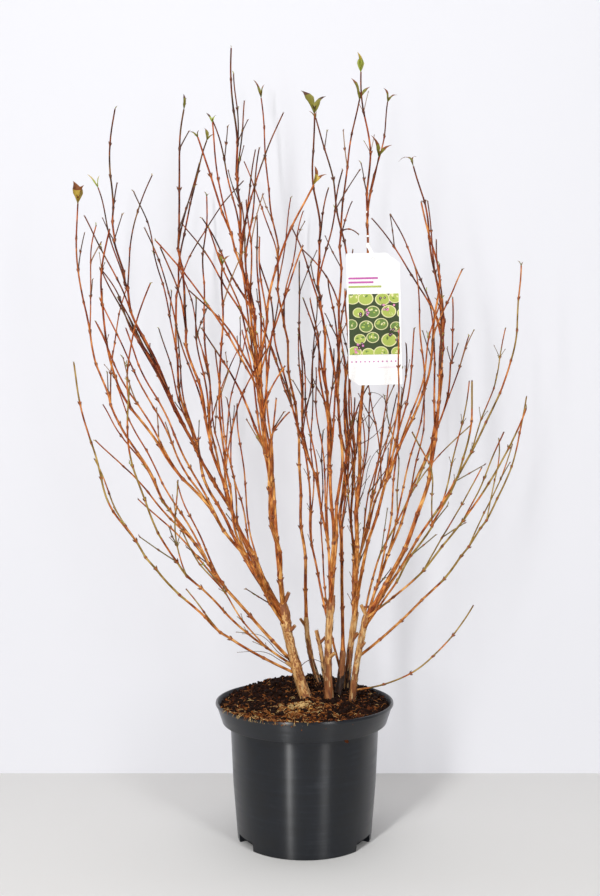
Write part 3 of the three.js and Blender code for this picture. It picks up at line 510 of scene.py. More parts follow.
class Sweep:
    """A line from root to tip with one bow and one slight S along X."""

    def __init__(self, root, tip, bow=(0, 0, 0), sway=0.0):
        self.root, self.tip, self.bow = (np.array(v, float) for v in (root, tip, bow))
        self.sway = sway
        self.length = float(np.linalg.norm(
            np.diff(self.at(np.linspace(0, 1, 201)), axis=0), axis=1).sum())

    def at(self, t):
        t = np.asarray(t, float)[..., None]
        point = self.root + (self.tip - self.root) * t + self.bow * 4 * t * (1 - t)
        point[..., 0] += self.sway * np.sin(2 * np.pi * t[..., 0])
        return point

    def heading(self, t):
        return unit(self.at(t + 0.002) - self.at(t - 0.002))


def taper(start, end, power=1.0):
    return lambda t: start + (end - start) * np.minimum(1, np.asarray(t, float)) ** power


def stem_radius(stem):
    foot, head = stem["thick"]
    return lambda t: (foot + (head - foot) * t) / 2 * (
        1 + STEM_FLARE * np.exp(-FLARE_FADE * np.maximum(0, t)))


def cane_radius(cane):
    return taper(cane["thick"] / 2, CANE_TIP_RADIUS, CANE_TAPER)


class Room:
    """Balls along every limb that has its place, to find room for the next one."""

    def __init__(self):
        self.centres, self.radii, self.owners = np.empty((0, 3)), np.empty(0), np.empty(0, int)
        self.names = {}

    def balls(self, sweep, start, end, radius_at):
        count = max(2, math.ceil(sweep.length * (end - start) / BALL_SPACING))
        t = start + (end - start) * np.arange(count + 1) / count
        return sweep.at(t), np.broadcast_to(radius_at(t), t.shape)

    def take(self, balls, owner):
        number = self.names.setdefault(owner, len(self.names))
        self.centres = np.concatenate((self.centres, balls[0]))
        self.radii = np.concatenate((self.radii, balls[1]))
        self.owners = np.concatenate((self.owners, np.full(len(balls[1]), number)))

    def free(self, balls, owner):
        centres, radii = balls
        if (np.hypot(centres[:, 0], centres[:, 1]) >= CROWN["radius"]).any() or (
                centres[:, 2] >= CROWN["top"]).any() or (centres[:, 2] <= CROWN["bottom"]).any():
            return False
        others = self.owners != self.names.get(owner, -1)
        apart = np.linalg.norm(centres[:, None] - self.centres[others], axis=-1)
        return bool((apart > self.radii[others] + radii[:, None] + TWIG_ROOM).all())


def dice(seed):
    """Portable dice: the same seed gives the same growth anywhere."""
    state = seed

    def roll():
        nonlocal state
        state = (state * 1664525 + 1013904223) & 0xFFFFFFFF
        return state / 4294967296
    return roll


def shoot_sweep(sweep, at, tip):
    """A shoot leaves its leader near the leader's own direction, then swings to its tip."""
    root, tip = sweep.at(at), np.array(tip, float)
    chord = tip - root
    first = unit(sweep.heading(at) + unit(chord))
    knee = root + first * np.linalg.norm(chord) * SHOOT_BEND
    return Sweep(root, tip, (knee - (root + chord * SHOOT_BEND)) * 0.5)


def side_twig(sweep, t, turn, roll, kind):
    """One small twig at a joint: it leaves at an angle in the joint's plane, turning up."""
    length_roll, angle_roll, bend_roll = roll(), roll(), roll()
    along = sweep.heading(t)
    level = unit(np.cross((0.0, 0.0, 1.0), along))
    out = level * math.cos(turn) + np.cross(along, level) * math.sin(turn)
    length = kind["shortest"] + (kind["longest"] - kind["shortest"]) * length_roll ** SHORT_BIAS
    angle = kind["angle"] * (0.7 + 0.6 * angle_roll)
    root = sweep.at(t)
    tip = root + (along * math.cos(angle) + out * math.sin(angle)) * length
    tip[2] += length * TWIG_RISE * bend_roll
    return Sweep(root, tip)


def leaf_pair(sweep, size, owner):
    """The leaves of a tip that have room: a pair that opens to left and right."""
    tip, along = sweep.at(1.0), sweep.heading(1.0)
    across = unit(np.cross((0.0, 1.0, 0.0), along))
    pair = []
    for hand in (-1, 1):
        length = size if hand < 0 else size * SECOND_LEAF
        heading = unit(along + across * hand * LEAF_SPREAD)
        reach = Sweep(tip, tip + heading * length * LEAF_REACH)
        if room.free(room.balls(reach, 0, 1, lambda t, r=length * LEAF_HALF_WIDTH: r), owner):
            pair.append((hand, heading, length))
    return pair


stem_sweeps = {name: Sweep(s["foot"], s["head"], s["bow"]) for name, s in STEMS.items()}
cane_sweeps = {name: Sweep(stem_sweeps[c["stem"]].at(c["at"]), c["tip"], c["bow"], c["sway"])
               for name, c in CANES.items()}
room = Room()
for name, stem in STEMS.items():
    room.take(room.balls(stem_sweeps[name], 0, 1, stem_radius(stem)), name)
for name, cane in CANES.items():
    room.take(room.balls(cane_sweeps[name], CANE_ROOM_FROM, 1, cane_radius(cane)), name)

# every line of wood: its owner, kind, sweep, stretch, radius, leaf length, and what it is on
lines = []
for name, cane in CANES.items():
    sweep, radius_at = cane_sweeps[name], cane_radius(cane)
    leader = dict(owner=name, kind="leader", sweep=sweep, start=cane["mass_from"],
                  radius=radius_at, leaf=cane["leaf"], parent=None, at=0.0, pair=[])
    lines.append(leader)
    for at, x, y, z, *leaf in cane["shoots"]:
        shoot = shoot_sweep(sweep, at, (x, y, z))
        shoot_radius = taper(float(radius_at(at)) * SHOOT_THICKNESS, SHOOT_TIP_RADIUS)
        balls = room.balls(shoot, 0, 1, shoot_radius)
        if room.free(balls, name):
            room.take(balls, name)
            lines.append(dict(owner=name, kind="shoot", sweep=shoot, start=0.0,
                              radius=shoot_radius, leaf=leaf[0] if leaf else 0,
                              parent=leader, at=at, pair=[]))


def joints_of(line):
    """The shares of a line where its joints are."""
    reach = line["sweep"].length * (1 - line["start"])
    count = int(reach // JOINT_SPACING)
    return [line["start"] + (1 - line["start"]) * joint / count for joint in range(1, count)]


for name, cane in CANES.items():
    roll = dice(cane["seed"])
    for line in [one for one in lines if one["owner"] == name and one["kind"] != "twig"]:
        for joint, t in enumerate(joints_of(line), 1):
            for side in (0, 1):
                grows = roll() < TWIG["chance"]
                turn = (joint % 2 + side * 2) * math.pi / 2
                twig = side_twig(line["sweep"], t, turn, roll, TWIG)
                radius = taper(TWIG["radius"], TWIG["tip_radius"])
                balls = room.balls(twig, 0, 1, radius)
                if grows and t > line["start"] + BARE_START and room.free(balls, name):
                    room.take(balls, name)
                    lines.append(dict(owner=name, kind="twig", sweep=twig, start=0.0,
                                      radius=radius, leaf=0, parent=line, at=t, pair=[]))
        if line["leaf"]:
            line["pair"] = leaf_pair(line["sweep"], line["leaf"], name)

# ---------------------------------------------------------------- wood

rough = np.random.default_rng(7528)
boughs, leaders, shoots, twigs, buds, leaves = (Pile() for _ in range(6))
FRONT = np.array((0.0, -1.0, 0.0))
STEM_MIDDLE = np.array((45.0, 20.0, 300.0))
# how the skin of each kind of limb is made: sides, mm from ring to ring, depth of the relief,
# how much thicker its collar is and how many mm that runs, and the size of its bends in mm
LIMB = dict(leader=(11, 2.7, 0.04, 0.45, 9, 1.3), shoot=(7, 3.2, 0.035, 0.4, 5, 1.3),
            twig=(6, 3.0, 0.03, 0.3, 3, 0.5), spur=(5, 3.0, 0.02, 0.3, 3, 1.3))
# near these places wood keeps its smooth line: it strays from the first distance in mm on, and
# in full when it is the second distance further away
STILL = ((STEM_MIDDLE, 110, 130), (TAG["hole"], 25, 60))
# nor does it bend at its joints: the bends start at so many times the distance in mm, and are
# full one distance further away
UNBENT = ((STEM_MIDDLE, 110, 1), (TAG["hole"], 60, 0.5))
CARRIED = 30  # a limb follows its parent's bend for about so many mm
# slow waves through the whole crown, from length to length in mm and of so many mm along X, Y
# and Z: limbs that are near each other stray together
WAVE_LENGTHS, WAVE_REACH = (80, 190), (1.0, 0.8, 0.3)
WAVES = [(unit(rough.normal(0, 1, 3)) * 2 * np.pi / rough.uniform(*WAVE_LENGTHS),
          rough.normal(0, 1, 3) * WAVE_REACH, rough.uniform(0, 6.3)) for _ in range(9)]
# plain joints keep so many mm from the root of their line and from those that spring from it
ROOT_GAP, CHILD_GAP = 22, 16
# a joint's swelling: its reach in mm and as a share of the radius, its rise as a share of the
# radius and in mm on limbs of a full radius, and how much more it is where a child springs
SWELL = dict(reach=1.7, reach_share=0.5, rise_share=0.12, rise=0.7, full=1.5, child=1.25)
SCAR, SCAR_SHARE = 1.2, 0.25  # half the width of the darker ring at a joint, in the same way


def wander(points):
    """How far wood strays from its smooth line, in mm; none at the stems and the tag."""
    stray = sum(np.sin(points @ wave + phase)[:, None] * reach for wave, reach, phase in WAVES)
    free = np.ones(len(points))
    for place, still, grows in STILL:
        free *= np.clip((np.linalg.norm(points - place, axis=1) - still) / grows, 0, 1)
    return stray * free[:, None]


# the numbers of the barks in their pieces, in the order of their materials
GOLD_BROWN, RUSSET, _, DARK_RED, UMBER, OLIVE_TAN, *CANE_JOINTS = range(8)
TWIG_TAN, TWIG_OLIVE, TWIG_BROWN, TWIG_JOINT = range(4)
SCALES, GREEN = range(2)  # of a bud


def ridges(run, around, depth, length=26.0):
    """Relief of a bark skin: long low ridges that wander slowly round the limb."""
    turn = np.linspace(0, 2 * np.pi, around, endpoint=False)
    relief = np.ones((len(run), around))
    for waves in (2, 3, 5):
        drift = rough.uniform(0, 6.3) + rough.uniform(-1, 1) * np.sin(
            run / length + rough.uniform(0, 6.3))
        relief += depth / waves ** 0.5 * np.sin(waves * turn[None] + drift[:, None])
    return relief


def knots_of(line):
    """The shares of a line where it has a joint, and those where a child springs from it."""
    sweep = line["sweep"]
    plain = joints_of(line)
    if line["kind"] == "leader" and line["start"] > 0:
        count = max(1, round(sweep.length * line["start"] / JOINT_SPACING))
        plain = [line["start"] * k / count for k in range(1, count + 1)] + plain
    elif line["kind"] != "leader":
        plain = plain or [0.5]
    roots = [child["at"] for child in lines if child["parent"] is line]
    plain = [t for t in plain if t * sweep.length > ROOT_GAP and all(
        abs(t - root) * sweep.length > CHILD_GAP for root in roots)]
    return sorted(plain), sorted(roots)


def dress(line):
    """Gives a line its course: stray, a small bend at each joint, and swollen joints."""
    sweep = line["sweep"]
    _, step, _, collar, collar_run, size = LIMB[line["kind"]]
    t = np.linspace(0, 1, max(6, math.ceil(sweep.length / step)) + 1)
    run, smooth = t * sweep.length, sweep.at(t)
    plain, roots = line["knots"] = knots_of(line)
    knots = sorted(plain + roots)
    middle = sweep.heading(np.array(0.5))
    plane = unit(np.cross(middle, unit(rough.normal(0, 1, 3)) + (0.0, 2.5, 0.0)))
    bends = [(-1) ** k * size * rough.uniform(0.5, 1.3) for k in range(len(knots))]
    zigzag = np.interp(t, [0, *knots, 1], [0, *bends, 0])
    for place, grows, still in UNBENT:
        zigzag *= np.clip(np.linalg.norm(smooth - place, axis=1) / grows - still, 0, 1)
    shift = zigzag[:, None] * plane
    if line["parent"]:
        carried = line["parent"]["shift"](line["at"])
        shift = shift + carried * np.exp(-run / CARRIED)[:, None]
    radii = np.broadcast_to(line["radius"](t), t.shape).copy()
    swell = np.zeros_like(run)
    reach = SWELL["reach"] + radii.mean() * SWELL["reach_share"]
    for places, amount in ((plain, 1.0), (roots, SWELL["child"])):
        for place in places:
            near = np.exp(-((run - place * sweep.length) / reach) ** 2)
            swell = np.maximum(swell, amount * near)
    radii = radii + swell * (SWELL["rise_share"] * radii
                             + SWELL["rise"] * np.minimum(1, radii / SWELL["full"]))
    radii = radii * (1 + collar * np.exp(-run / collar_run))
    centre = smooth + wander(smooth) + shift
    line["shift"] = lambda at: np.array([np.interp(at, t, shift[:, k]) for k in range(3)])
    line["course"] = (t, centre, radii, frames(centre), run)


def on_course(line, t):
    """The dressed place, heading and radius of a line at a share of its length."""
    share, centre, radii, sides, _ = line["course"]
    i = min(int(np.searchsorted(share, t)), len(share) - 1)
    return (np.array([np.interp(t, share, centre[:, k]) for k in range(3)]), sides[0][i],
            float(np.interp(t, share, radii)))


def skin(pile, line, first, last, tint_of, joint_tints):
    """The bark of a line from share first to share last, a little darker at its joints."""
    t, centre, radii, sides, run = line["course"]
    around, _, depth, *_ = LIMB[line["kind"]]
    if "relief" not in line:
        line["relief"] = ridges(run, around, depth)
    kept = slice(int(np.searchsorted(t, first)), int(np.searchsorted(t, last)) + 1)
    t, centre, radii, run = t[kept], centre[kept], radii[kept], run[kept]
    middle = (t[:-1] + t[1:]) / 2
    tint = np.array([tint_of(share) for share in middle])
    for place in line["knots"][0] + line["knots"][1]:
        near = np.abs(middle - place) * line["sweep"].length
        ring = near < SCAR + radii[:-1] * SCAR_SHARE
        dark = np.isin(tint[ring], (DARK_RED, UMBER))
        tint[ring] = np.where(dark, joint_tints[1], joint_tints[0])
    tube(pile, centre, radii, around, tint, line["relief"][kept],
         tuple(side[kept] for side in sides))


def bud(root, heading, length, radius, tint):
    """A closed bud: a small pointed scale, swollen below its middle."""
    share = np.array((0.0, 0.2, 0.5, 0.8, 1.0))
    girth = np.array((0.7, 1.0, 0.9, 0.5, 0.12)) * radius
    tube(buds, root + heading * length * share[:, None], girth, 6, tint)


def blade(root, heading, up, length, width, tints, fold=0.5, curl=0.3):
    """A leaf: two halves folded along the midrib, curling back towards its tip."""
    share = np.array((0.0, 0.1, 0.25, 0.42, 0.58, 0.74, 0.88, 1.0))
    half = np.array((0.07, 0.2, 0.6, 0.94, 1.0, 0.8, 0.42, 0.02)) * width / 2
    across = unit(np.cross(heading, up))
    rise = unit(np.cross(across, heading))
    bend = curl * share ** 2.2
    rib = root + length * (share[:, None] * heading * np.cos(bend)[:, None]
                           - (share * np.sin(bend))[:, None] * rise)
    fold = fold + 0.35 * share  # a browned tip rolls in
    edge = (half * np.cos(fold))[:, None] * across
    lift = (half * np.sin(fold))[:, None] * rise
    wave = (half * 0.2 * np.sin(share * 9 + rough.uniform(0, 6)))[:, None] * rise
    corners = np.concatenate((rib, rib + edge + lift + wave, rib - edge + lift - wave))
    n = len(share)
    i = np.arange(n - 1)
    quads = np.concatenate((np.stack((i, i + 1, n + i + 1, n + i), -1),
                            np.stack((i + 1, i, 2 * n + i, 2 * n + i + 1), -1)))
    v = share * length * MM
    w = half * MM
    zero = np.zeros(n - 1)
    uv = np.concatenate((
        np.stack((np.stack((zero, v[:-1]), -1), np.stack((zero, v[1:]), -1),
                  np.stack((w[1:], v[1:]), -1), np.stack((w[:-1], v[:-1]), -1)), 1),
        np.stack((np.stack((zero, v[1:]), -1), np.stack((zero, v[:-1]), -1),
                  np.stack((-w[:-1], v[:-1]), -1), np.stack((-w[1:], v[1:]), -1)), 1)))
    body, end = tints
    browned = rough.integers(2, 4)
    tint = [body] * (n - 1 - browned) + [end] * browned
    leaves.put(corners, quads, quad_uv=uv, quad_tint=tint + tint)


FRESH, OLIVE, GOLDEN, BRONZE, BROWNED = range(5)
# how the leaves of some tips differ: breadth, body, end, curl, how far the pair opens
LEAF_LOOKS = {
    "left_leafy_leader": (0.5, GOLDEN, BRONZE, 0.12, -0.15),
    "tall_bud_leader": (0.26, OLIVE, BROWNED, 0.1, -0.24),
    "back_mid_tall_leader": (0.2, OLIVE, BRONZE, 0.15, -0.12),
    "centre_leafy_leader": (0.4, OLIVE, BROWNED, 0.3, 0.06),
    "centre_back_leader": (0.25, OLIVE, BRONZE, 0.15, 0.08),
    "tag_cane_leader": (0.4, FRESH, GOLDEN, 0.12, -0.26),
    "tag_cane_shoot": (0.26, OLIVE, BRONZE, 0.3, 0.0),
    "right_tall_leader": (0.2, OLIVE, BRONZE, 0.75, -0.28),
    "far_left_dark_shoot": (0.15, FRESH, GOLDEN, 0.2, -0.05),
    "front_leaner_leader": (0.3, GOLDEN, BRONZE, 0.3, -0.1),
    "behind_tag_leader": (0.22, OLIVE, BRONZE, 0.2, 0.0),
    "crown_top_leader": (0.25, GOLDEN, BROWNED, 0.3, -0.2),
}
PLAIN_LOOK = (0.28, (FRESH, OLIVE, OLIVE), (BRONZE, BROWNED), 0.3, 0.0)  # bodies and ends vary
GROWN = 1.25  # the leaves' length to that of the plain solids' leaves


def sprout(line):
    """Young leaves at a tip: the spread leaves that have room, round a small upright pair."""
    tip, heading, _ = on_course(line, 1.0)
    size = line["leaf"] * GROWN
    across = unit(np.cross((0.0, 1.0, 0.0), heading))
    breadth, bodies, ends, curl, opens = PLAIN_LOOK
    plain = (breadth, rough.choice(bodies), rough.choice(ends), curl, opens)
    breadth, body, end, curl, opens = LEAF_LOOKS.get(line["owner"] + "_" + line["kind"], plain)
    for hand, lean, length in line["pair"]:
        up = unit(across * -hand * 0.7 + FRONT * 0.7 + (0.0, 0.0, rough.uniform(-0.2, 0.2)))
        length *= GROWN * rough.uniform(0.92, 1.06)
        blade(tip - heading * 1.5, unit(lean + across * hand * opens), up, length,
              length * breadth, (body, end), 0.35, curl * rough.uniform(0.7, 1.3))
    for hand in (-1, 1):
        lean = unit(heading + across * hand * 0.1 + FRONT * rough.uniform(-0.1, 0.2))
        up = unit(across * -hand + FRONT * 0.6)
        blade(tip - heading, lean, up, size * rough.uniform(0.3, 0.45), size * 0.1, (body, end),
              0.6, 0.15)


BUD_MISSING, BUD_OPEN, BUD_LENGTH, BUD_GIRTH = 0.15, 0.08, (4.0, 6.4), 0.22
OPEN_UP_TO = 2.2  # buds open on wood up to this radius
TIP_OPEN, TIP_LEAF, TIP_BUD = 0.12, 0.22, (3.5, 6)
YOUNG = (FRESH, OLIVE, GOLDEN)


def dress_joint(line, t, joint):
    """A pair of buds pressed to the bark, each pair a quarter turn from the last."""
    place, along, radius = on_course(line, t)
    level = unit(np.cross((0.0, 0.0, 1.0), along))
    turn = (joint % 2) * math.pi / 2 + rough.uniform(-0.25, 0.25)
    for side in (0, math.pi):
        if rough.random() < BUD_MISSING:
            continue
        out = level * math.cos(turn + side) + np.cross(along, level) * math.sin(turn + side)
        lean = unit(along + out * rough.uniform(0.2, 0.55))
        size = rough.uniform(*BUD_LENGTH) * (0.85 + 0.06 * min(radius, 4))
        opening = rough.random() < BUD_OPEN and radius < OPEN_UP_TO
        root = place + out * radius * 0.8 - along * 0.6
        bud(root, lean, size, size * BUD_GIRTH, GREEN if opening else SCALES)
        if opening:
            for hand in (-1, 1):
                blade(root + lean * size * 0.7, unit(lean + level * hand * 0.35), FRONT,
                      size * rough.uniform(0.9, 1.6), size * 0.32, (rough.choice(YOUNG), BRONZE))


def dress_tip(line):
    """The pair of buds at a bare tip, here and there with one small leaf."""
    tip, heading, _ = on_course(line, 1.0)
    level = unit(np.cross((0.0, 1.0, 0.0), heading))
    for hand in (-1, 1):
        bud(tip - heading, unit(heading + level * hand * 0.2), rough.uniform(*TIP_BUD),
            rough.uniform(0.7, 1.0), GREEN if rough.random() < TIP_OPEN else SCALES)
        if rough.random() < TIP_LEAF:
            blade(tip, unit(heading + level * hand * 0.3), unit(FRONT - level * hand * 0.4),
                  rough.uniform(5, 10), 2.4, (rough.choice(YOUNG), BRONZE))


# the canes whose bark is olive to straw above the given share of their length
OLIVE_FROM = dict(far_right=0.3, right_front=0.25, right_low=0.35, front_right_thin=0.2,
                  back_right_thin=0.3, low_left_long=0.35, low_left_front=0.45,
                  low_right_shoot=0.1)
NEVER = 2  # a share past the tip
BARK_STEPS = 12  # along a cane its bark changes in steps
SPUR_TURN = 0.4  # spurs don't grow where the twigs' rule has its twigs


def bark_at(t, number, cane, olive_from):
    """Gold-brown below, then redder, and darker on the canes that turn dark, by joints."""
    step = math.floor(t * BARK_STEPS)
    if t > olive_from:
        return OLIVE_TAN if math.sin(step * 1.7 + number) > -0.75 else RUSSET
    drift = math.sin(step * 2.7 + number * 1.9) * 0.13
    turned = min(max((t - 0.4) / 0.5, 0), 1)
    shade = cane["dark"] * (0.25 + turned * 0.55) + t * 0.3 + drift
    return int(np.clip(shade * UMBER + 0.2, GOLD_BROWN, UMBER))


spurs = []
for number, (name, cane) in enumerate(CANES.items()):
    olive_from = OLIVE_FROM.get(name, NEVER)
    for line in [one for one in lines if one["owner"] == name]:
        kind, start = line["kind"], line["start"]
        dress(line)
        if kind == "twig":
            tint = (TWIG_BROWN if cane["dark"] > 0.6 else TWIG_OLIVE if olive_from < 1 else
                    int(rough.choice((TWIG_TAN, TWIG_BROWN, TWIG_BROWN))))
            skin(twigs, line, 0, 1, lambda t: tint, (TWIG_JOINT, TWIG_JOINT))
        else:
            def tint_of(t):
                """The bark at a share of the line; a shoot takes it from where it springs."""
                return bark_at(line["at"] + (1 - line["at"]) * t, number, cane, olive_from)

            if kind == "shoot":
                skin(shoots, line, 0, 1, tint_of, CANE_JOINTS)
            else:
                if start > 0:
                    skin(boughs, line, 0, start, tint_of, CANE_JOINTS)
                skin(leaders, line, start, 1, tint_of, CANE_JOINTS)
        plain, roots = line["knots"]
        for joint, t in enumerate(sorted(plain + roots)):
            dress_joint(line, t, joint)
            if kind == "twig" or t <= start + BARE_START:
                continue
            for side in (0, 1):
                roll = dice(cane["seed"] * 977 + joint * 31 + side * 7 + len(spurs))
                grows = roll() < SPUR["chance"]
                turn = (joint % 2 + side * 2) * math.pi / 2 + SPUR_TURN
                spur = side_twig(line["sweep"], t, turn, roll, SPUR)
                spur_radius = taper(SPUR["radius"], SPUR["tip_radius"])
                balls = room.balls(spur, 0, 1, spur_radius)
                if grows and room.free(balls, name):
                    room.take(balls, name)
                    tint = (TWIG_BROWN if cane["dark"] > 0.5 else
                            TWIG_OLIVE if olive_from < 1 else TWIG_TAN)
                    spurs.append(dict(owner=name, kind="spur", sweep=spur, start=0.0,
                                      radius=spur_radius, leaf=0, parent=line, at=t, pair=[],
                                      tint=tint))
        if line["leaf"]:
            sprout(line)
        else:
            dress_tip(line)

for line in spurs:
    dress(line)
    line["knots"] = ([], [])
    skin(twigs, line, 0, 1, lambda t: line["tint"], (TWIG_JOINT, TWIG_JOINT))
    tip, heading, _ = on_course(line, 1.0)
    bud(tip - heading * 0.6, heading, 3.8, 0.8, GREEN if rough.random() < 0.15 else SCALES)

for pile, name, materials, taken, slot in (
        (boughs, "cane_boughs", BARK + JOINT,
         ["bough_" + n for n, c in CANES.items() if c["mass_from"] > 0], "cane_bark"),
        (leaders, "cane_leaders", BARK + JOINT, ["twigs_" + n for n in CANES], "twigs"),
        (shoots, "cane_shoots", BARK + JOINT, [], "twigs"),
        (twigs, "fine_twigs", TWIG_BARK + JOINT[:1], [], "twigs"),
        (buds, "buds", BUD, [], "twigs"), (leaves, "young_leaves", LEAF, [], "twigs")):
    piece = pile.piece(name, materials)
    if taken:
        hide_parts(*taken)

# ---------------------------------------------------------------- old stems

STRAW, RED_BARK, DAMP_AND_SHADE, SAWN = range(4)
# the bark of each stem from its foot up: share of its height, kind; the near-black damp kind low
# on the back, back_stub, dark and right_back stems is painted shade
STEM_BARK = dict(
    left=((0, STRAW), (0.84, RED_BARK)),
    back=((0, DAMP_AND_SHADE), (0.25, RED_BARK), (0.6, STRAW)),
    back_stub=((0, DAMP_AND_SHADE), (0.3, STRAW)),
    centre=((0, RED_BARK), (0.5, STRAW), (0.9, RED_BARK)),
    dark=((0, DAMP_AND_SHADE), (0.45, RED_BARK)),
    right_back=((0, DAMP_AND_SHADE), (0.3, RED_BARK), (0.55, STRAW)),
    right=((0, RED_BARK), (0.45, STRAW), (0.9, RED_BARK)),
)
# stubs of branches pruned long ago: stem, share of its height, direction, length, thickness
STUBS = (("left", 0.3, (-0.8, -0.5, 0.5), 15, 6.5), ("left", 0.68, (0.75, -0.6, 0.7), 12, 6),
         ("left", 0.97, (0.5, -0.3, 1), 17, 7), ("back", 0.86, (-0.8, -0.3, 0.9), 13, 5),
         ("back_stub", 0.75, (0.8, -0.3, 0.7), 11, 5), ("centre", 0.88, (-0.7, -0.5, 1), 15, 5.5),
         ("centre", 0.4, (0.8, -0.6, 0.5), 9, 6), ("right_back", 0.62, (0.7, -0.5, 0.8), 13, 6),
         ("right", 0.6, (0.6, -0.7, 0.7), 11, 5.5), ("right", 0.98, (-0.6, -0.2, 1), 14, 6))
STEM_AROUND, STEM_STEP, STUB_STEP, FLAKES_PER_MM = 28, 1.8, 2.2, 0.55
KNUCKLE, KNUCKLE_MOST, KNUCKLE_RUN = 0.016, 0.12, 7  # swelling where a cane springs
RELIEF, STUB_RELIEF = 0.12, 0.08


def rise_limb(shape, centre, radii, relief, bark_of):
    """An old limb: a circle drawn up ring by ring, with a sawn end that is pushed in a little."""
    turn_layer = shape.verts.layers.int.get("turn") or shape.verts.layers.int.new("turn")
    uv_layer = shape.loops.layers.uv.verify()
    _, side, other = frames(centre)
    ring = bmesh.ops.create_circle(shape, segments=STEM_AROUND, radius=1.0)["verts"]
    for k, corner in enumerate(ring):
        corner[turn_layer] = k
    edges = list(dict.fromkeys(edge for corner in ring for edge in corner.link_edges))
    run = np.concatenate(([0], np.cumsum(np.linalg.norm(np.diff(centre, axis=0), axis=1))))
    girth = 2 * math.pi * float(radii.mean())
    for level in range(len(centre)):
        if level:
            drawn = bmesh.ops.extrude_edge_only(shape, edges=edges)["geom"]
            ring = [part for part in drawn if isinstance(part, bmesh.types.BMVert)]
            fresh = set(ring)
            edges = [part for part in drawn if isinstance(part, bmesh.types.BMEdge)
                     and part.verts[0] in fresh and part.verts[1] in fresh]
            for face in [part for part in drawn if isinstance(part, bmesh.types.BMFace)]:
                turns = [loop.vert[turn_layer] for loop in face.loops]
                wraps = max(turns) - min(turns) > 1
                face.material_index = bark_of(turns[0] / STEM_AROUND, run[level])
                for loop, at in zip(face.loops, turns):
                    at = STEM_AROUND if wraps and at == 0 else at
                    height = run[level] if loop.vert in fresh else run[level - 1]
                    loop[uv_layer].uv = (at / STEM_AROUND * girth * MM,
                                         (height + centre[0, 0] * 9) * MM)
        for corner in ring:
            k = corner[turn_layer]
            angle = 2 * math.pi * k / STEM_AROUND
            out = side[level] * math.cos(angle) + other[level] * math.sin(angle)
            corner.co = (centre[level] + out * radii[level] * relief[level, k]) * MM
    end = bmesh.ops.contextual_create(shape, geom=edges)["faces"]
    bmesh.ops.inset_region(shape, faces=end, thickness=0.7 * MM, depth=-0.35 * MM)
    for face in end:
        face.material_index = SAWN


def bark_relief(run, number, depth):
    """Bark split into long strips that overlap, cracked across here and there."""
    relief = ridges(run, STEM_AROUND, 0.045, 18.0)
    for k in range(STEM_AROUND):
        angle = 2 * math.pi * k / STEM_AROUND
        for i, along in enumerate(run):
            place = Vector((math.cos(angle) * 3.4 + number * 7, math.sin(angle) * 3.4, along / 15))
            relief[i, k] += depth * noise.noise(place) + depth * 0.5 * noise.noise(place * 2.7)
    return relief


old_wood = bmesh.new()
flakes = Pile()
for number, (name, stem) in enumerate(STEMS.items()):
    sweep, radius_at = stem_sweeps[name], stem_radius(stem)
    t = np.linspace(-0.02, 1, math.ceil(sweep.length / STEM_STEP))
    run = t * sweep.length
    radii = radius_at(np.maximum(t, 0))
    for cane in CANES.values():  # knuckles where the canes spring from the old wood
        if cane["stem"] == name:
            near = np.exp(-((run - sweep.length * cane["at"]) / KNUCKLE_RUN) ** 2)
            radii = radii * (1 + min(KNUCKLE_MOST, cane["thick"] * KNUCKLE) * near)
    if name == "dark":  # it narrows into the cane that goes on from its head
        radii = radii * np.sqrt(np.clip((1.03 - t) / 0.16, 0.2, 1))
    for place in rough.uniform(0.15, 0.95, 4):  # old joints
        radii = radii * (1 + 0.07 * np.exp(-((t - place) * sweep.length / 3) ** 2))

    def bark_of(turn, along):
        """Patches of one bark over the next; the left stem is darker on its left side, which is
        painted shade.
        """
        angle = turn * 6.28
        spot = Vector((math.cos(angle) * 1.7 + number * 5, math.sin(angle) * 1.7, along / 13))
        share = along / sweep.length + 0.3 * noise.noise(spot)
        kind = [bark for start, bark in STEM_BARK[name] if share >= start or start == 0][-1]
        # painted shade: darker red-brown bark gathers on one side of the left stem
        painted_shade = math.cos((turn - 0.33) * 6.28) * 0.5
        if name == "left" and noise.noise(spot * 2.6) + painted_shade > 0.44:
            return RED_BARK
        return DAMP_AND_SHADE if along < 5 + 8 * noise.noise(spot * 2) else kind

    rise_limb(old_wood, sweep.at(t), radii, bark_relief(run, number, RELIEF), bark_of)
    if name != "dark":
        for _ in range(int(sweep.length * FLAKES_PER_MM)):
            at, angle = rough.uniform(0.03, 0.94), rough.uniform(0, 2 * np.pi)
            along = sweep.heading(at)
            side = unit(np.cross(along, (math.cos(angle), math.sin(angle), 0.05)))
            out = np.cross(side, along)
            length, width = rough.uniform(6, 20), rough.uniform(0.7, 2.6)
            share = np.linspace(0, 1, 6)
            lift = 0.25 + rough.uniform(0.1, 2.0) * share ** 3
            middle = (sweep.at(at + (share - 0.5) * length / sweep.length)
                      + out * (float(radius_at(at)) * 1.05 + lift)[:, None]
                      + side * (rough.uniform(-0.8, 0.8) * share)[:, None])
            half = side * width / 2 * (1 - 0.75 * share ** 3)[:, None]
            corners = np.concatenate((middle - half, middle + half))
            i = np.arange(5)
            uv = np.broadcast_to(np.array(((0, 0), (0, 1), (1, 1), (1, 0))) * (
                width * MM, length * MM), (5, 4, 2)) + rough.uniform(0, 3)
            flakes.put(corners, np.stack((i, i + 1, i + 7, i + 6), -1), quad_uv=uv,
                       quad_tint=int(rough.choice((0, 0, 1, 2))))
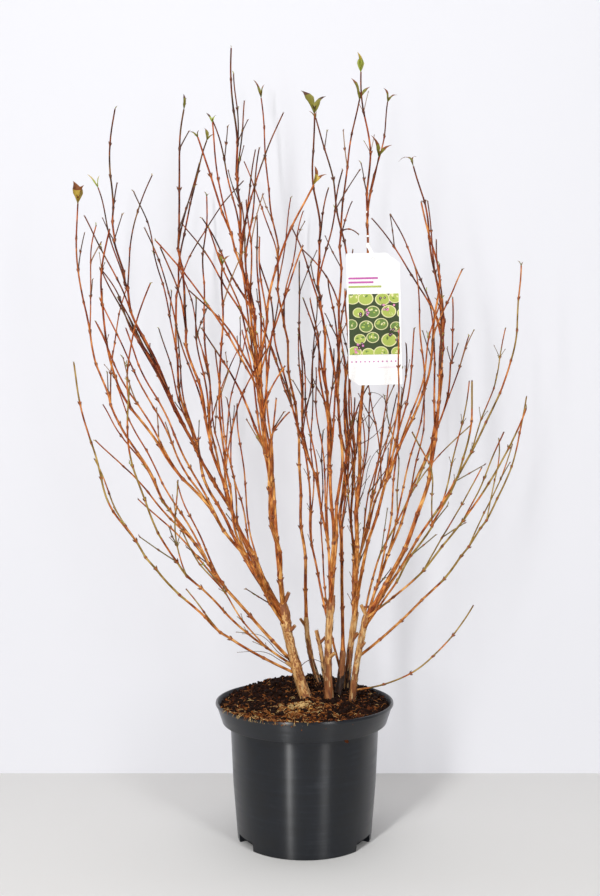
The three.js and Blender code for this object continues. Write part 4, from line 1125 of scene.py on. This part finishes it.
for number, (name, at, toward, length, thick) in enumerate(STUBS):
    root = stem_sweeps[name].at(at)
    share = np.linspace(0, 1, max(5, round(length / STUB_STEP)))
    line = root + np.outer(share, unit(np.array(toward, float))) * (
        length + float(stem_radius(STEMS[name])(at)))
    line[:, 2] += 2.5 * share ** 2
    radii = thick / 2 * (1.25 - 0.3 * share)
    rise_limb(old_wood, line, radii, bark_relief(share * length, number + 20, STUB_RELIEF),
              lambda turn, along: (STRAW, RED_BARK, RED_BARK)[number % 3])
bmesh.ops.holes_fill(old_wood, edges=[edge for edge in old_wood.edges if edge.is_boundary])
bmesh.ops.recalc_face_normals(old_wood, faces=old_wood.faces)
old_piece = object_of(old_wood, "old_stems", [OLD_BARK, OLD_BARK_RED, OLD_BARK_DAMP_AND_SHADE, CUT_WOOD], 55)
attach(old_piece, "root")
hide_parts(*["stem_" + n for n in STEMS])
flakes.piece("bark_flakes", [FLAKE, OLD_BARK, OLD_BARK_RED])

# ---------------------------------------------------------------- pot


def spun(name, profile, around):
    """A closed turned body from a profile of radius and height, spun in small steps."""
    shape = bmesh.new()
    corners = [shape.verts.new((r * MM, 0, z * MM)) for r, z in profile]
    edges = [shape.edges.new(pair) for pair in zip(corners, corners[1:])]
    bmesh.ops.spin(shape, geom=corners + edges, axis=(0, 0, 1), cent=(0, 0, 0),
                   angle=2 * math.pi, steps=around, use_merge=True)
    bmesh.ops.remove_doubles(shape, verts=shape.verts, dist=3e-6)  # closes the poles
    bmesh.ops.dissolve_degenerate(shape, edges=shape.edges, dist=1e-7)
    bmesh.ops.recalc_face_normals(shape, faces=shape.faces)
    return object_of(shape, name, [])


def cut(target, tool):
    """Takes tool away from target for good."""
    change = target.modifiers.new("cut", "BOOLEAN")
    change.operation, change.solver, change.object = "DIFFERENCE", "EXACT", tool
    view = bpy.context.evaluated_depsgraph_get()
    mesh = bpy.data.meshes.new_from_object(target.evaluated_get(view))
    target.modifiers.clear()
    target.data = mesh
    bpy.data.objects.remove(tool)


def notch_tool(turn):
    """The room of one drain notch at the pot's foot, with rounded corners."""
    deep, below = 30.0, 6.0
    size = Vector((deep, DRAIN["width"], DRAIN["height"] + below))
    middle = Vector((DRAIN["back"] + deep / 2, 0, (DRAIN["height"] - below) / 2))
    shape = bmesh.new()
    bmesh.ops.create_cube(shape, size=1.0)
    bmesh.ops.scale(shape, vec=size * MM, verts=shape.verts)
    bmesh.ops.bevel(shape, geom=shape.edges, offset=2 * MM, segments=3, profile=0.5,
                    affect="EDGES", material=-1)
    bmesh.ops.translate(shape, vec=middle * MM, verts=shape.verts)
    bmesh.ops.rotate(shape, cent=(0, 0, 0), matrix=Matrix.Rotation(turn, 3, "Z"),
                     verts=shape.verts)
    return object_of(shape, "notch", [])


p, POT_AROUND = POT, 144
POLE = 0.001  # the profile ends this near the axis, and the doubles there are merged
lip_radius, wall = p["rim"] - p["lip"], p["wall"]
pot = spun("nursery_pot", [
    (POLE, 0), (p["foot"] - 1.4, 0), (p["foot"] - 0.4, 0.4), (p["foot"], 1.4),
    (p["middle"], p["middle_height"]), (p["neck"] - 0.5, p["neck_height"] - 9),
    (p["neck"] - 0.2, p["neck_height"] - 2), (p["neck"] + 0.9, p["neck_height"] - 0.4),
    (p["collar"] - 1.2, p["neck_height"] + 0.1), (p["collar"], p["neck_height"] + 1.2),
    (p["rim"] - 2.2, p["height"] - p["lip_hang"] - 1.2),
    (p["rim"] - 1.7, p["height"] - p["lip_hang"] - 0.3),
    (p["rim"] - 0.5, p["height"] - p["lip_hang"]), (p["rim"], p["height"] - p["lip_hang"] + 0.7),
    (p["rim"], p["height"] - 1.6), (p["rim"] - 0.5, p["height"] - 0.4),
    (p["rim"] - 1.5, p["height"]), (lip_radius + 0.8, p["height"]),
    (lip_radius, p["height"] - 1), (p["collar"] - wall, p["neck_height"] + wall + 0.8),
    (p["neck"] - wall, p["neck_height"] + wall), (p["middle"] - wall, p["middle_height"]),
    (p["foot"] - wall, p["floor"]), (POLE, p["floor"])], POT_AROUND)
for i in range(DRAIN["count"]):
    cut(pot, notch_tool(math.radians(DRAIN["first"] + i * 360 / DRAIN["count"])))
pot.data.materials.append(POT_PLASTIC)
pot.data.polygons.foreach_set("use_smooth", np.ones(len(pot.data.polygons), bool))
pot.data.set_sharp_from_angle(angle=math.radians(38))
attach(pot, "root")
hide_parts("pot")

# ---------------------------------------------------------------- potting soil


def soil_height(x, y):
    """The compost's height, heaped a little round the stems and at the back."""
    return SOIL_LEVEL + sum(
        h * np.exp(-(x - cx) ** 2 / (2 * sx ** 2) - (y - cy) ** 2 / (2 * sy ** 2))
        for cx, cy, h, sx, sy in HEAPS)


def lump(x, y):
    """Small rises and hollows in the compost, in mm."""
    return (3.6 * noise.fractal(Vector((x / 19, y / 19, 3.1)), 1.0, 2.1, 4)
            + 1.7 * noise.noise(Vector((x / 5, y / 5, 9.7))))


def on_soil(x, y):
    return np.array((x, y, float(soil_height(x, y)) + lump(x, y)))


low = p["neck_height"] + wall + 0.8
lean = (lip_radius - p["collar"] + wall) / (p["height"] - low)
SKIRT = 16  # the compost's side goes down this far inside the wall
SETTLED, SETTLED_WIDTH = 3.5, 14  # it has sunk this much at the wall, from so far in
GROUND_RINGS, GROUND_AROUND = 66, 190
edge = p["collar"] - wall + lean * (SOIL_LEVEL - low) - 0.5
ground = bmesh.new()
points = [ground.verts.new((r, 0, 0)) for r in edge * np.sqrt(np.linspace(0, 1, GROUND_RINGS))]
points.append(ground.verts.new((edge - lean * SKIRT, 0, -SKIRT)))
seam = [ground.edges.new(pair) for pair in zip(points, points[1:])]
bmesh.ops.spin(ground, geom=points + seam, axis=(0, 0, 1), cent=(0, 0, 0), angle=2 * math.pi,
               steps=GROUND_AROUND, use_merge=True)
bmesh.ops.remove_doubles(ground, verts=ground.verts, dist=1e-3)
bmesh.ops.recalc_face_normals(ground, faces=ground.faces)
for corner in ground.verts:
    x, y, z = corner.co
    if z < -1:
        corner.co.z = SOIL_LEVEL - SKIRT
    else:
        sunk = max(0.0, (math.hypot(x, y) - edge + SETTLED_WIDTH) / SETTLED_WIDTH) * SETTLED
        corner.co.z = on_soil(x, y)[2] - sunk
bmesh.ops.scale(ground, vec=(MM, MM, MM), verts=ground.verts)
soil_piece = object_of(ground, "compost_surface", [COMPOST], sharp=180)
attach(soil_piece, "root")
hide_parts("potting_soil")


def lump_shape():
    """Corners and outward faces of one rough crumb, 12 corners round its middle."""
    shape = bmesh.new()
    bmesh.ops.create_icosphere(shape, subdivisions=1, radius=1.0)
    shape.verts.index_update()
    corners = np.array([corner.co for corner in shape.verts])
    faces = np.array([[corner.index for corner in face.verts] for face in shape.faces])
    shape.free()
    return corners, faces


LUMP, LUMP_FACES = lump_shape()
litter, fibres = Pile(), Pile()
WET, BROWN, CHIP, DRY = range(4)
WET_BELOW, BROWN_BELOW = 0.11, 0.5  # of dryness
BROWN_COIR, PALE_COIR = range(2)
# how many are strewn; only some of the clods and the coir find a place
CRUMBS, CLODS, CHIPS, COIR, TUFT, SPILLED = 6800, 330, 420, 2900, 60, 460


def crumb(centre, size, flat, tint):
    """One crumb or chip, of its own shape, lying in any direction."""
    spin = rough.random(3) * (6.28, 0.75, 0.75)
    turn = Matrix.Rotation(spin[0], 3, "Z") @ Matrix.Rotation(spin[1], 3, "X")
    turn = np.array(turn @ Matrix.Rotation(spin[2], 3, "Y"))
    points = LUMP * size * rough.uniform(0.65, 1.3, (12, 1)) * (1, rough.uniform(0.5, 1), flat)
    litter.put(points @ turn.T + centre, triangles=LUMP_FACES, triangle_tint=tint)


def fibre(centre, length, width, tint, lift=2.0, drop=0.0):
    """A curved fibre that lies on the compost, or hangs over an edge by drop."""
    angle, bend = rough.uniform(0, 2 * np.pi), rough.uniform(-0.5, 0.5)
    share = np.linspace(-0.5, 0.5, 6)
    along = np.array((math.cos(angle), math.sin(angle), 0)) * length
    beside = np.array((-math.sin(angle), math.cos(angle), 0)) * length * bend
    line = centre + np.outer(share, along) + np.outer(share ** 2, beside)
    line[:, 2] += lift * (1 - (2 * share) ** 2) - drop * (share + 0.5) ** 2
    tube(fibres, line, np.array((0.5, 0.9, 1, 1, 0.8, 0.3)) * width / 2, 4, tint)


def anywhere(inset):
    """A place on the compost, some way in from the wall."""
    r, a = (edge - inset) * math.sqrt(rough.random()), rough.uniform(0, 2 * np.pi)
    return r * math.cos(a), r * math.sin(a)


def dryness(x, y):
    """How dry and light the compost is: most in a patch before the stems and front left."""
    patch = math.exp(-((x + 8) / 26) ** 2 - ((y + 42) / 17) ** 2)
    front = 0.5 * math.exp(-((x + 30) / 68) ** 2 - ((y + 80) / 44) ** 2)
    return patch + front + 0.25 * noise.noise(Vector((x / 24, y / 24, 5.0)))


for _ in range(CRUMBS):  # the texture of the surface: wet crumbs, brown where it is drier
    x, y = anywhere(3)
    size = 0.8 + 2.9 * rough.random() ** 3
    dry = dryness(x, y)
    tint = WET if dry < WET_BELOW else rough.choice(
        (WET, BROWN, BROWN, CHIP) if dry < BROWN_BELOW else (BROWN, CHIP, DRY, DRY))
    crumb(on_soil(x, y) + (0, 0, size * rough.uniform(-0.2, 0.5)), size,
          rough.uniform(0.5, 1.0), tint)
for _ in range(CLODS):  # black clods, heaped at the back and left
    x, y = anywhere(9)
    if rough.random() < 0.35 + 0.65 * (y > 30) + 0.3 * (x < -60):
        size = rough.uniform(2.5, 6.5)
        crumb(on_soil(x, y) + (0, 0, size * 0.35), size, rough.uniform(0.6, 0.9), WET)
for _ in range(CHIPS):  # flat chips of bark
    x, y = anywhere(7)
    crumb(on_soil(x, y) + (0, 0, 0.8), rough.uniform(1.6, 4.6), 0.28,
          CHIP if rough.random() < 0.35 + dryness(x, y) else BROWN)
for _ in range(COIR):  # coir fibres, more of them and paler where it is dry
    x, y = anywhere(7)
    dry = dryness(x, y)
    if rough.random() < 0.1 + dry:
        straw = rough.random() < 0.1 + 0.55 * dry
        fibre(on_soil(x, y) + (0, 0, 0.8), rough.uniform(4, 15), rough.uniform(0.5, 1.2),
              PALE_COIR if straw else BROWN_COIR)
for _ in range(TUFT):  # a pale tuft before the left stem
    x, y = rough.normal(0, 1, 2) * (9, 5) + (-6, -40)
    fibre(on_soil(x, y) + (0, 0, 1.2), rough.uniform(5, 12), rough.uniform(0.8, 1.7),
          PALE_COIR, 2.5)
for _ in range(SPILLED):  # spilled on the rim and over it, most of it at the front left
    a = math.radians(rough.normal(245, 20))
    r = edge - 7 + (p["rim"] - 1 - edge + 7) * math.sqrt(rough.random())
    x, y = r * math.cos(a), r * math.sin(a)
    height = max(float(soil_height(x, y)), p["height"] - (0 if r > lip_radius else 5)) + 0.8
    crumb(np.array((x, y, height)), rough.uniform(0.8, 2.6), 0.7,
          rough.choice((WET, BROWN, BROWN, CHIP)))
    if rough.random() < 0.7:
        hangs = 6.0 if r > lip_radius else 1.5
        fibre(np.array((x, y, height + 0.6)), rough.uniform(5, 14), rough.uniform(0.6, 1.2),
              PALE_COIR if rough.random() < 0.35 else BROWN_COIR, 1.0, hangs)
# flecks that cling to the collar: degrees round it, mm below the rim, size
for a, down, size in ((262, 7, 2.2), (268, 12, 1.6), (256, 5, 1.8), (301, 9, 1.5),
                      (283, 11, 1.3)):
    r, a = p["rim"] + 0.4 - (down > 6) * 2.2 - down * 0.25, math.radians(a)
    crumb(np.array((r * math.cos(a), r * math.sin(a), p["height"] - down)), size, 0.6, CHIP)
crumb(np.array((67.0, -108.5, 189.5)), 4.6, 0.8, BROWN)  # one stuck under the collar
litter.piece("compost_crumbs", CRUMB, smooth=False)
fibres.piece("compost_fibres", FIBRE)

# ---------------------------------------------------------------- hang tag


def place_on_tag(shape):
    """Turns and moves a shape drawn flat, x and z from the hole, to the tag's place."""
    bmesh.ops.rotate(shape, cent=(0, 0, 0), verts=shape.verts,
                     matrix=Matrix.Rotation(-math.radians(TAG["tilt"]), 3, "Y"))
    bmesh.ops.translate(shape, vec=TAG["hole"], verts=shape.verts)
    bmesh.ops.scale(shape, vec=(MM, MM, MM), verts=shape.verts)


CARD_CORNER, CARD_EDGE = 1.6, 0.18
left, right, top, bottom = (TAG[k] for k in ("left", "right", "top", "bottom"))
cut_top, cut_bottom = TAG["cut_top"], TAG["cut_bottom"]
outline = [(left, top), (left, bottom + cut_bottom[1]), (left + cut_bottom[0], bottom),
           (right, bottom), (right, top - cut_top[1]), (right - cut_top[0], top)]
card_shape = bmesh.new()
card_shape.faces.new([card_shape.verts.new((x, 0, z)) for x, z in outline])
drawn = bmesh.ops.extrude_face_region(card_shape, geom=card_shape.faces[:])["geom"]
bmesh.ops.translate(card_shape, vec=(0, TAG["thickness"], 0),
                    verts=[part for part in drawn if isinstance(part, bmesh.types.BMVert)])
bmesh.ops.recalc_face_normals(card_shape, faces=card_shape.faces)
for offset, segments, across in ((CARD_CORNER, 4, True), (CARD_EDGE, 1, False)):
    in_order(card_shape)
    chosen = [e for e in card_shape.edges
              if (abs(e.verts[0].co.y - e.verts[1].co.y) > 0.5) == across]
    bmesh.ops.bevel(card_shape, geom=chosen, offset=offset, segments=segments, profile=0.5,
                    affect="EDGES", material=-1)
place_on_tag(card_shape)
card = object_of(card_shape, "tag_card", [])
punch = bmesh.new()
bmesh.ops.create_cone(punch, cap_ends=True, segments=28, radius1=TAG["hole_radius"],
                      radius2=TAG["hole_radius"], depth=10)
bmesh.ops.rotate(punch, cent=(0, 0, 0), matrix=Matrix.Rotation(math.pi / 2, 3, "X"),
                 verts=punch.verts)
place_on_tag(punch)
cut(card, object_of(punch, "punch", []))
card.data.materials.append(CARD)
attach(card, "root")
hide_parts("hang_tag")

# a generic garden picture: rounded bushes and small round flowers in flat inks
art = bmesh.new()
INK = {name: k for k, name in enumerate(INKS)}
INK_LIFT, INK_STEP = 0.04, 0.004  # each ink lies a hair above the one before
layer_count = 0


def patch(x, z, size, ink, inside=None, squash=1.0, turn=0.0, sides=24):
    """One round patch of ink on the card, cut off at the picture's edges."""
    global layer_count
    layer_count += 1
    shape = bmesh.new()
    bmesh.ops.create_circle(shape, cap_ends=True, segments=sides, radius=size / 2)
    bmesh.ops.scale(shape, vec=(1, squash, 1), verts=shape.verts)
    bmesh.ops.rotate(shape, cent=(0, 0, 0), matrix=Matrix.Rotation(turn, 3, "Z"),
                     verts=shape.verts)
    bmesh.ops.rotate(shape, cent=(0, 0, 0), matrix=Matrix.Rotation(math.pi / 2, 3, "X"),
                     verts=shape.verts)
    lift = INK_LIFT + INK_STEP * layer_count
    bmesh.ops.translate(shape, vec=(x, -lift, z), verts=shape.verts)
    if inside:
        x0, x1, z0, z1 = inside
        for place, away in (((x0, 0, z0), (-1, 0, 0)), ((x1, 0, z0), (1, 0, 0)),
                            ((x0, 0, z0), (0, 0, -1)), ((x0, 0, z1), (0, 0, 1))):
            bmesh.ops.bisect_plane(shape, geom=shape.verts[:] + shape.edges[:] + shape.faces[:],
                                   plane_co=place, plane_no=away, clear_outer=True)
    for face in shape.faces:
        face.material_index = INK[ink]
        if face.normal.y > 0:
            face.normal_flip()
    piece_mesh = bpy.data.meshes.new("patch")
    shape.to_mesh(piece_mesh)
    shape.free()
    art.from_mesh(piece_mesh)
    bpy.data.meshes.remove(piece_mesh)


picture = (left + 2.5, right - 3.0, -164.0, -60.0)
x0, x1, z0, z1 = picture
for x in (x0 + 20, x1 - 20):  # the picture's ground colour
    for z in (z0 + 20, (z0 + z1) / 2, z1 - 20):
        patch(x, z, 90, "deep_green", picture)
PAD_ROWS, PAD_COLUMNS, PAD_GAP, ROW_GAP = 5, 4, 25, 23
for row in range(PAD_ROWS):  # round pads with pale rims, row behind row
    for column in range(PAD_COLUMNS):
        x = x0 + 6 + column * PAD_GAP + (row % 2) * PAD_GAP // 2 + rough.uniform(-3, 3)
        z = z1 - 8 - row * ROW_GAP + rough.uniform(-3, 3)
        size = rough.uniform(20, 28)
        patch(x, z, size, "cream", picture, 0.85)
        patch(x, z, size * 0.87, rough.choice(("light_green", "mid_green")), picture, 0.85)
        for _ in range(6):
            a, r = rough.uniform(0, 2 * np.pi), size * 0.28 * rough.random() ** 0.5
            patch(x + r * math.cos(a), z + r * math.sin(a) * 0.8 + 1, rough.uniform(3, 7),
                  rough.choice(("light_green", "mid_green", "light_green", "cream")), picture,
                  0.6, rough.uniform(0, 3), 10)
# flowers in loose groups: shares of the picture's width and height, and how many
for x, z, count in ((0.72, 0.86, 9), (0.3, 0.7, 6), (0.84, 0.36, 7), (0.2, 0.12, 7)):
    for _ in range(count):
        fx = x0 + (x1 - x0) * x + rough.normal(0, 6)
        fz = z0 + (z1 - z0) * z + rough.normal(0, 5)
        patch(fx, fz, rough.uniform(3.5, 6), rough.choice(("pink", "magenta", "plum")), picture,
              sides=12)
        patch(fx, fz, 1.4, "pale_pink", picture, sides=8)
for x in np.arange(left + 6, right - 6, 7.5):  # a plain border row of dots, and two lines
    patch(x, -176, 2.6, "magenta", sides=12)
patch(right - 24, -186, 36, "pale_pink", (right - 42, right - 6, -186.6, -185.4))
for z, end, ink in ((-33, 38, "magenta"), (-40, 46, "magenta"), (-47.5, 22, "light_green")):
    patch(left + 24, z, 70, ink, (left + 3, right - end, z - 1.5, z + 1.5))
place_on_tag(art)
art_piece = object_of(art, "tag_print", PRINT)
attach(art_piece, "root")

# the tag's white plastic band, its tail and stud, and two narrow bands higher up
tag_cane = next(line for line in lines if line["owner"] == "tag_cane")
bands = bmesh.new()


def band(share, width, gap, thickness):
    """A flat band round the tag's cane, spun from its section; returns its place."""
    centre, along, radius = on_course(tag_cane, share)
    side = unit(np.cross(along, (0.0, 1.0, 0.0)))
    inner = radius + gap
    section = ((inner, -width / 2), (inner + thickness, -width / 2 + 0.2),
               (inner + thickness, width / 2 - 0.2), (inner, width / 2))
    corners = [bands.verts.new(Vector(centre + side * r + along * h)) for r, h in section]
    edges = [bands.edges.new((corners[k], corners[(k + 1) % 4])) for k in range(4)]
    bmesh.ops.spin(bands, geom=corners + edges, axis=along, cent=centre, angle=2 * math.pi,
                   steps=28, use_merge=True)
    return centre, inner


centre, inner = band(STRAP["at"], STRAP["width"], 0.55, STRAP["thickness"])
for share in STRAP["narrow_at"]:
    band(share, 3.2, 0.35, 0.5)
hole = np.array(TAG["hole"], float)
behind = TAG["thickness"] + STRAP["tail_gap"]
start = centre + (0, -inner - STRAP["thickness"] / 2, 0)
path = [start, start * 0.7 + (hole + (0, behind, 2)) * 0.3 + (0, -1.0, 0),
        hole + (0, behind, 6), hole + (0, behind, -3)]
half, thin = STRAP["tail_width"] / 2, STRAP["tail_thickness"] / 2
tail = [bands.verts.new(Vector(start + (x, y, 0)))
        for x, y in ((-half, -thin), (half, -thin), (half, thin), (-half, thin))]
face = bands.faces.new(tail)
TAIL_STEPS = 5  # from each corner of its path to the next
for step in range(1, 3 * TAIL_STEPS + 1):
    here, before = (np.array([np.interp(s / TAIL_STEPS, range(4), [q[k] for q in path])
                              for k in range(3)]) for s in (step, step - 1))
    drawn = bmesh.ops.extrude_face_region(bands, geom=[face])["geom"]
    if step > 1:  # the first face closes the tail's end, and the others would lie inside it
        bands.faces.remove(face)
    face = next(part for part in drawn if isinstance(part, bmesh.types.BMFace))
    bmesh.ops.translate(bands, vec=Vector(here - before), verts=face.verts)
stud = bmesh.ops.create_cone(bands, cap_ends=True, segments=20, radius1=2.3, radius2=2.0,
                             depth=behind - 0.15)["verts"]
bmesh.ops.rotate(bands, cent=(0, 0, 0), matrix=Matrix.Rotation(math.pi / 2, 3, "X"), verts=stud)
bmesh.ops.translate(bands, vec=Vector(hole + (0, (behind + 0.15) / 2, 0)), verts=stud)
bmesh.ops.recalc_face_normals(bands, faces=bands.faces)
bmesh.ops.scale(bands, vec=(MM, MM, MM), verts=bands.verts)
strap_piece = object_of(bands, "tag_band", [CARD], sharp=40)
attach(strap_piece, "root")
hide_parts("tag_strap")

# ---------------------------------------------------------------- wiry dead stems

# old wiry stems, thin as string: their courses in mm, each from the wood that it springs from
WIRY_STEMS = (
    ((97, 36, 666), (109, 48, 671), (124, 54, 681), (139, 58, 699), (147, 60, 722),
     (145, 60, 741), (134, 56, 753), (121, 52, 757), (112, 50, 755)),
    ((97, 35, 700), (112, 50, 716), (127, 60, 738), (138, 64, 752), (146, 66, 751)),
    ((-24, 2, 296), (-42, -6, 309), (-50, -10, 318), (-61, -12, 333), (-78, -14, 345),
     (-106, -16, 345)),
    ((-20, 2, 284), (-44, -8, 300), (-59, -12, 311), (-78, -14, 316), (-114, -18, 314)),
    ((-8, 10, 283), (2, 14, 292), (14, 18, 296), (28, 20, 291), (40, 12, 284)),
    ((92, 39, 559), (108, 68, 590), (112, 84, 622), (126, 92, 652), (150, 96, 668)),
)


ROUNDINGS, WIRY_FOOT, WIRY_TIP = 3, 0.75, 0.4
wiry = Pile()
for corners in WIRY_STEMS:
    line = np.array(corners, float)
    for _ in range(ROUNDINGS):  # each pass puts two points near the ends of every part
        near, far = line[:-1] * 0.75 + line[1:] * 0.25, line[:-1] * 0.25 + line[1:] * 0.75
        line = np.concatenate((line[:1], np.stack((near, far), 1).reshape(-1, 3)[1:-1], line[-1:]))
    tube(wiry, line, np.linspace(WIRY_FOOT, WIRY_TIP, len(line)), 5)
wiry.piece("wiry_stems", [TWIG_BARK[TWIG_BROWN]])

# ---------------------------------------------------------------- studio


def stage_sheet(name, width, depth, place, turn, material):
    """A flat sheet of the studio, from a grid laid down and turned about X."""
    shape = bmesh.new()
    bmesh.ops.create_grid(shape, x_segments=8, y_segments=8, size=0.5)
    bmesh.ops.scale(shape, vec=(width, depth, 1), verts=shape.verts)
    bmesh.ops.rotate(shape, cent=(0, 0, 0), matrix=Matrix.Rotation(turn, 3, "X"),
                     verts=shape.verts)
    bmesh.ops.translate(shape, vec=place, verts=shape.verts)
    object_of(shape, name, [material])


floor_paint, tree, shader = surface("studio_floor_paint", 0.7, 0.2)
shader.inputs["Base Color"].default_value = tone("#dddcda")
# the backdrop glows a little, and only its front is there, so that other views see past it
wall_paper, tree, shader = surface("studio_backdrop_paper", 0.9, 0.0)
shader.inputs["Base Color"].default_value = tone("#a6a6aa")
shader.inputs["Emission Color"].default_value = tone("#fbfbff")
shader.inputs["Emission Strength"].default_value = 0.45
clear = add(tree, "BsdfTransparent")
side_seen = add(tree, "NewGeometry")
either = add(tree, "MixShader", {0: side_seen.outputs["Backfacing"], 1: shader, 2: clear})
tree.links.new(either.outputs[0], tree.nodes["Material Output"].inputs["Surface"])
stage_sheet("floor", 16, 16, (0, 0, 0), 0, floor_paint)
stage_sheet("backdrop", 5, 4, (0, 0.335, 2), math.pi / 2, wall_paper)


def area(name, place, target, size, power):
    """A rectangular soft light that faces its target."""
    light = bpy.data.lights.new(name, "AREA")
    light.shape, light.size, light.size_y, light.energy = "RECTANGLE", *size, power
    made = bpy.data.objects.new(name, light)
    made.location = place
    made.rotation_euler = (Vector(target) - Vector(place)).to_track_quat("-Z", "Y").to_euler()
    bpy.context.scene.collection.objects.link(made)


area("key_strip", (-1.0, -2.3, 1.5), (0, 0, 0.6), (0.2, 2.4), 62)
area("soft_right", (1.35, -2.2, 1.5), (0, 0, 0.6), (0.5, 2.0), 28)
area("top", (0.0, -0.6, 3.2), (0, 0, 0.5), (2.2, 1.6), 22)

world = bpy.data.worlds.new("studio")
bpy.context.scene.world = world
world.use_nodes = True
sky = world.node_tree.nodes["Background"]
sky.inputs["Color"].default_value = tone("#f6f6f8")
sky.inputs["Strength"].default_value = 0.09
bpy.context.scene.view_settings.view_transform = "Standard"

camera = bpy.data.objects.new("camera", bpy.data.cameras.new("camera"))
bpy.context.scene.collection.objects.link(camera)
camera.location = (-0.0077, -1.78, 0.659)
camera.rotation_euler = (math.pi / 2, 0, 0)
SENSOR, FOCAL_TO_HEIGHT = 36, 1044 / 896  # the sensor in mm; its longer side is upright
camera.data.sensor_width = SENSOR
camera.data.lens = SENSOR * FOCAL_TO_HEIGHT
bpy.context.scene.camera = camera
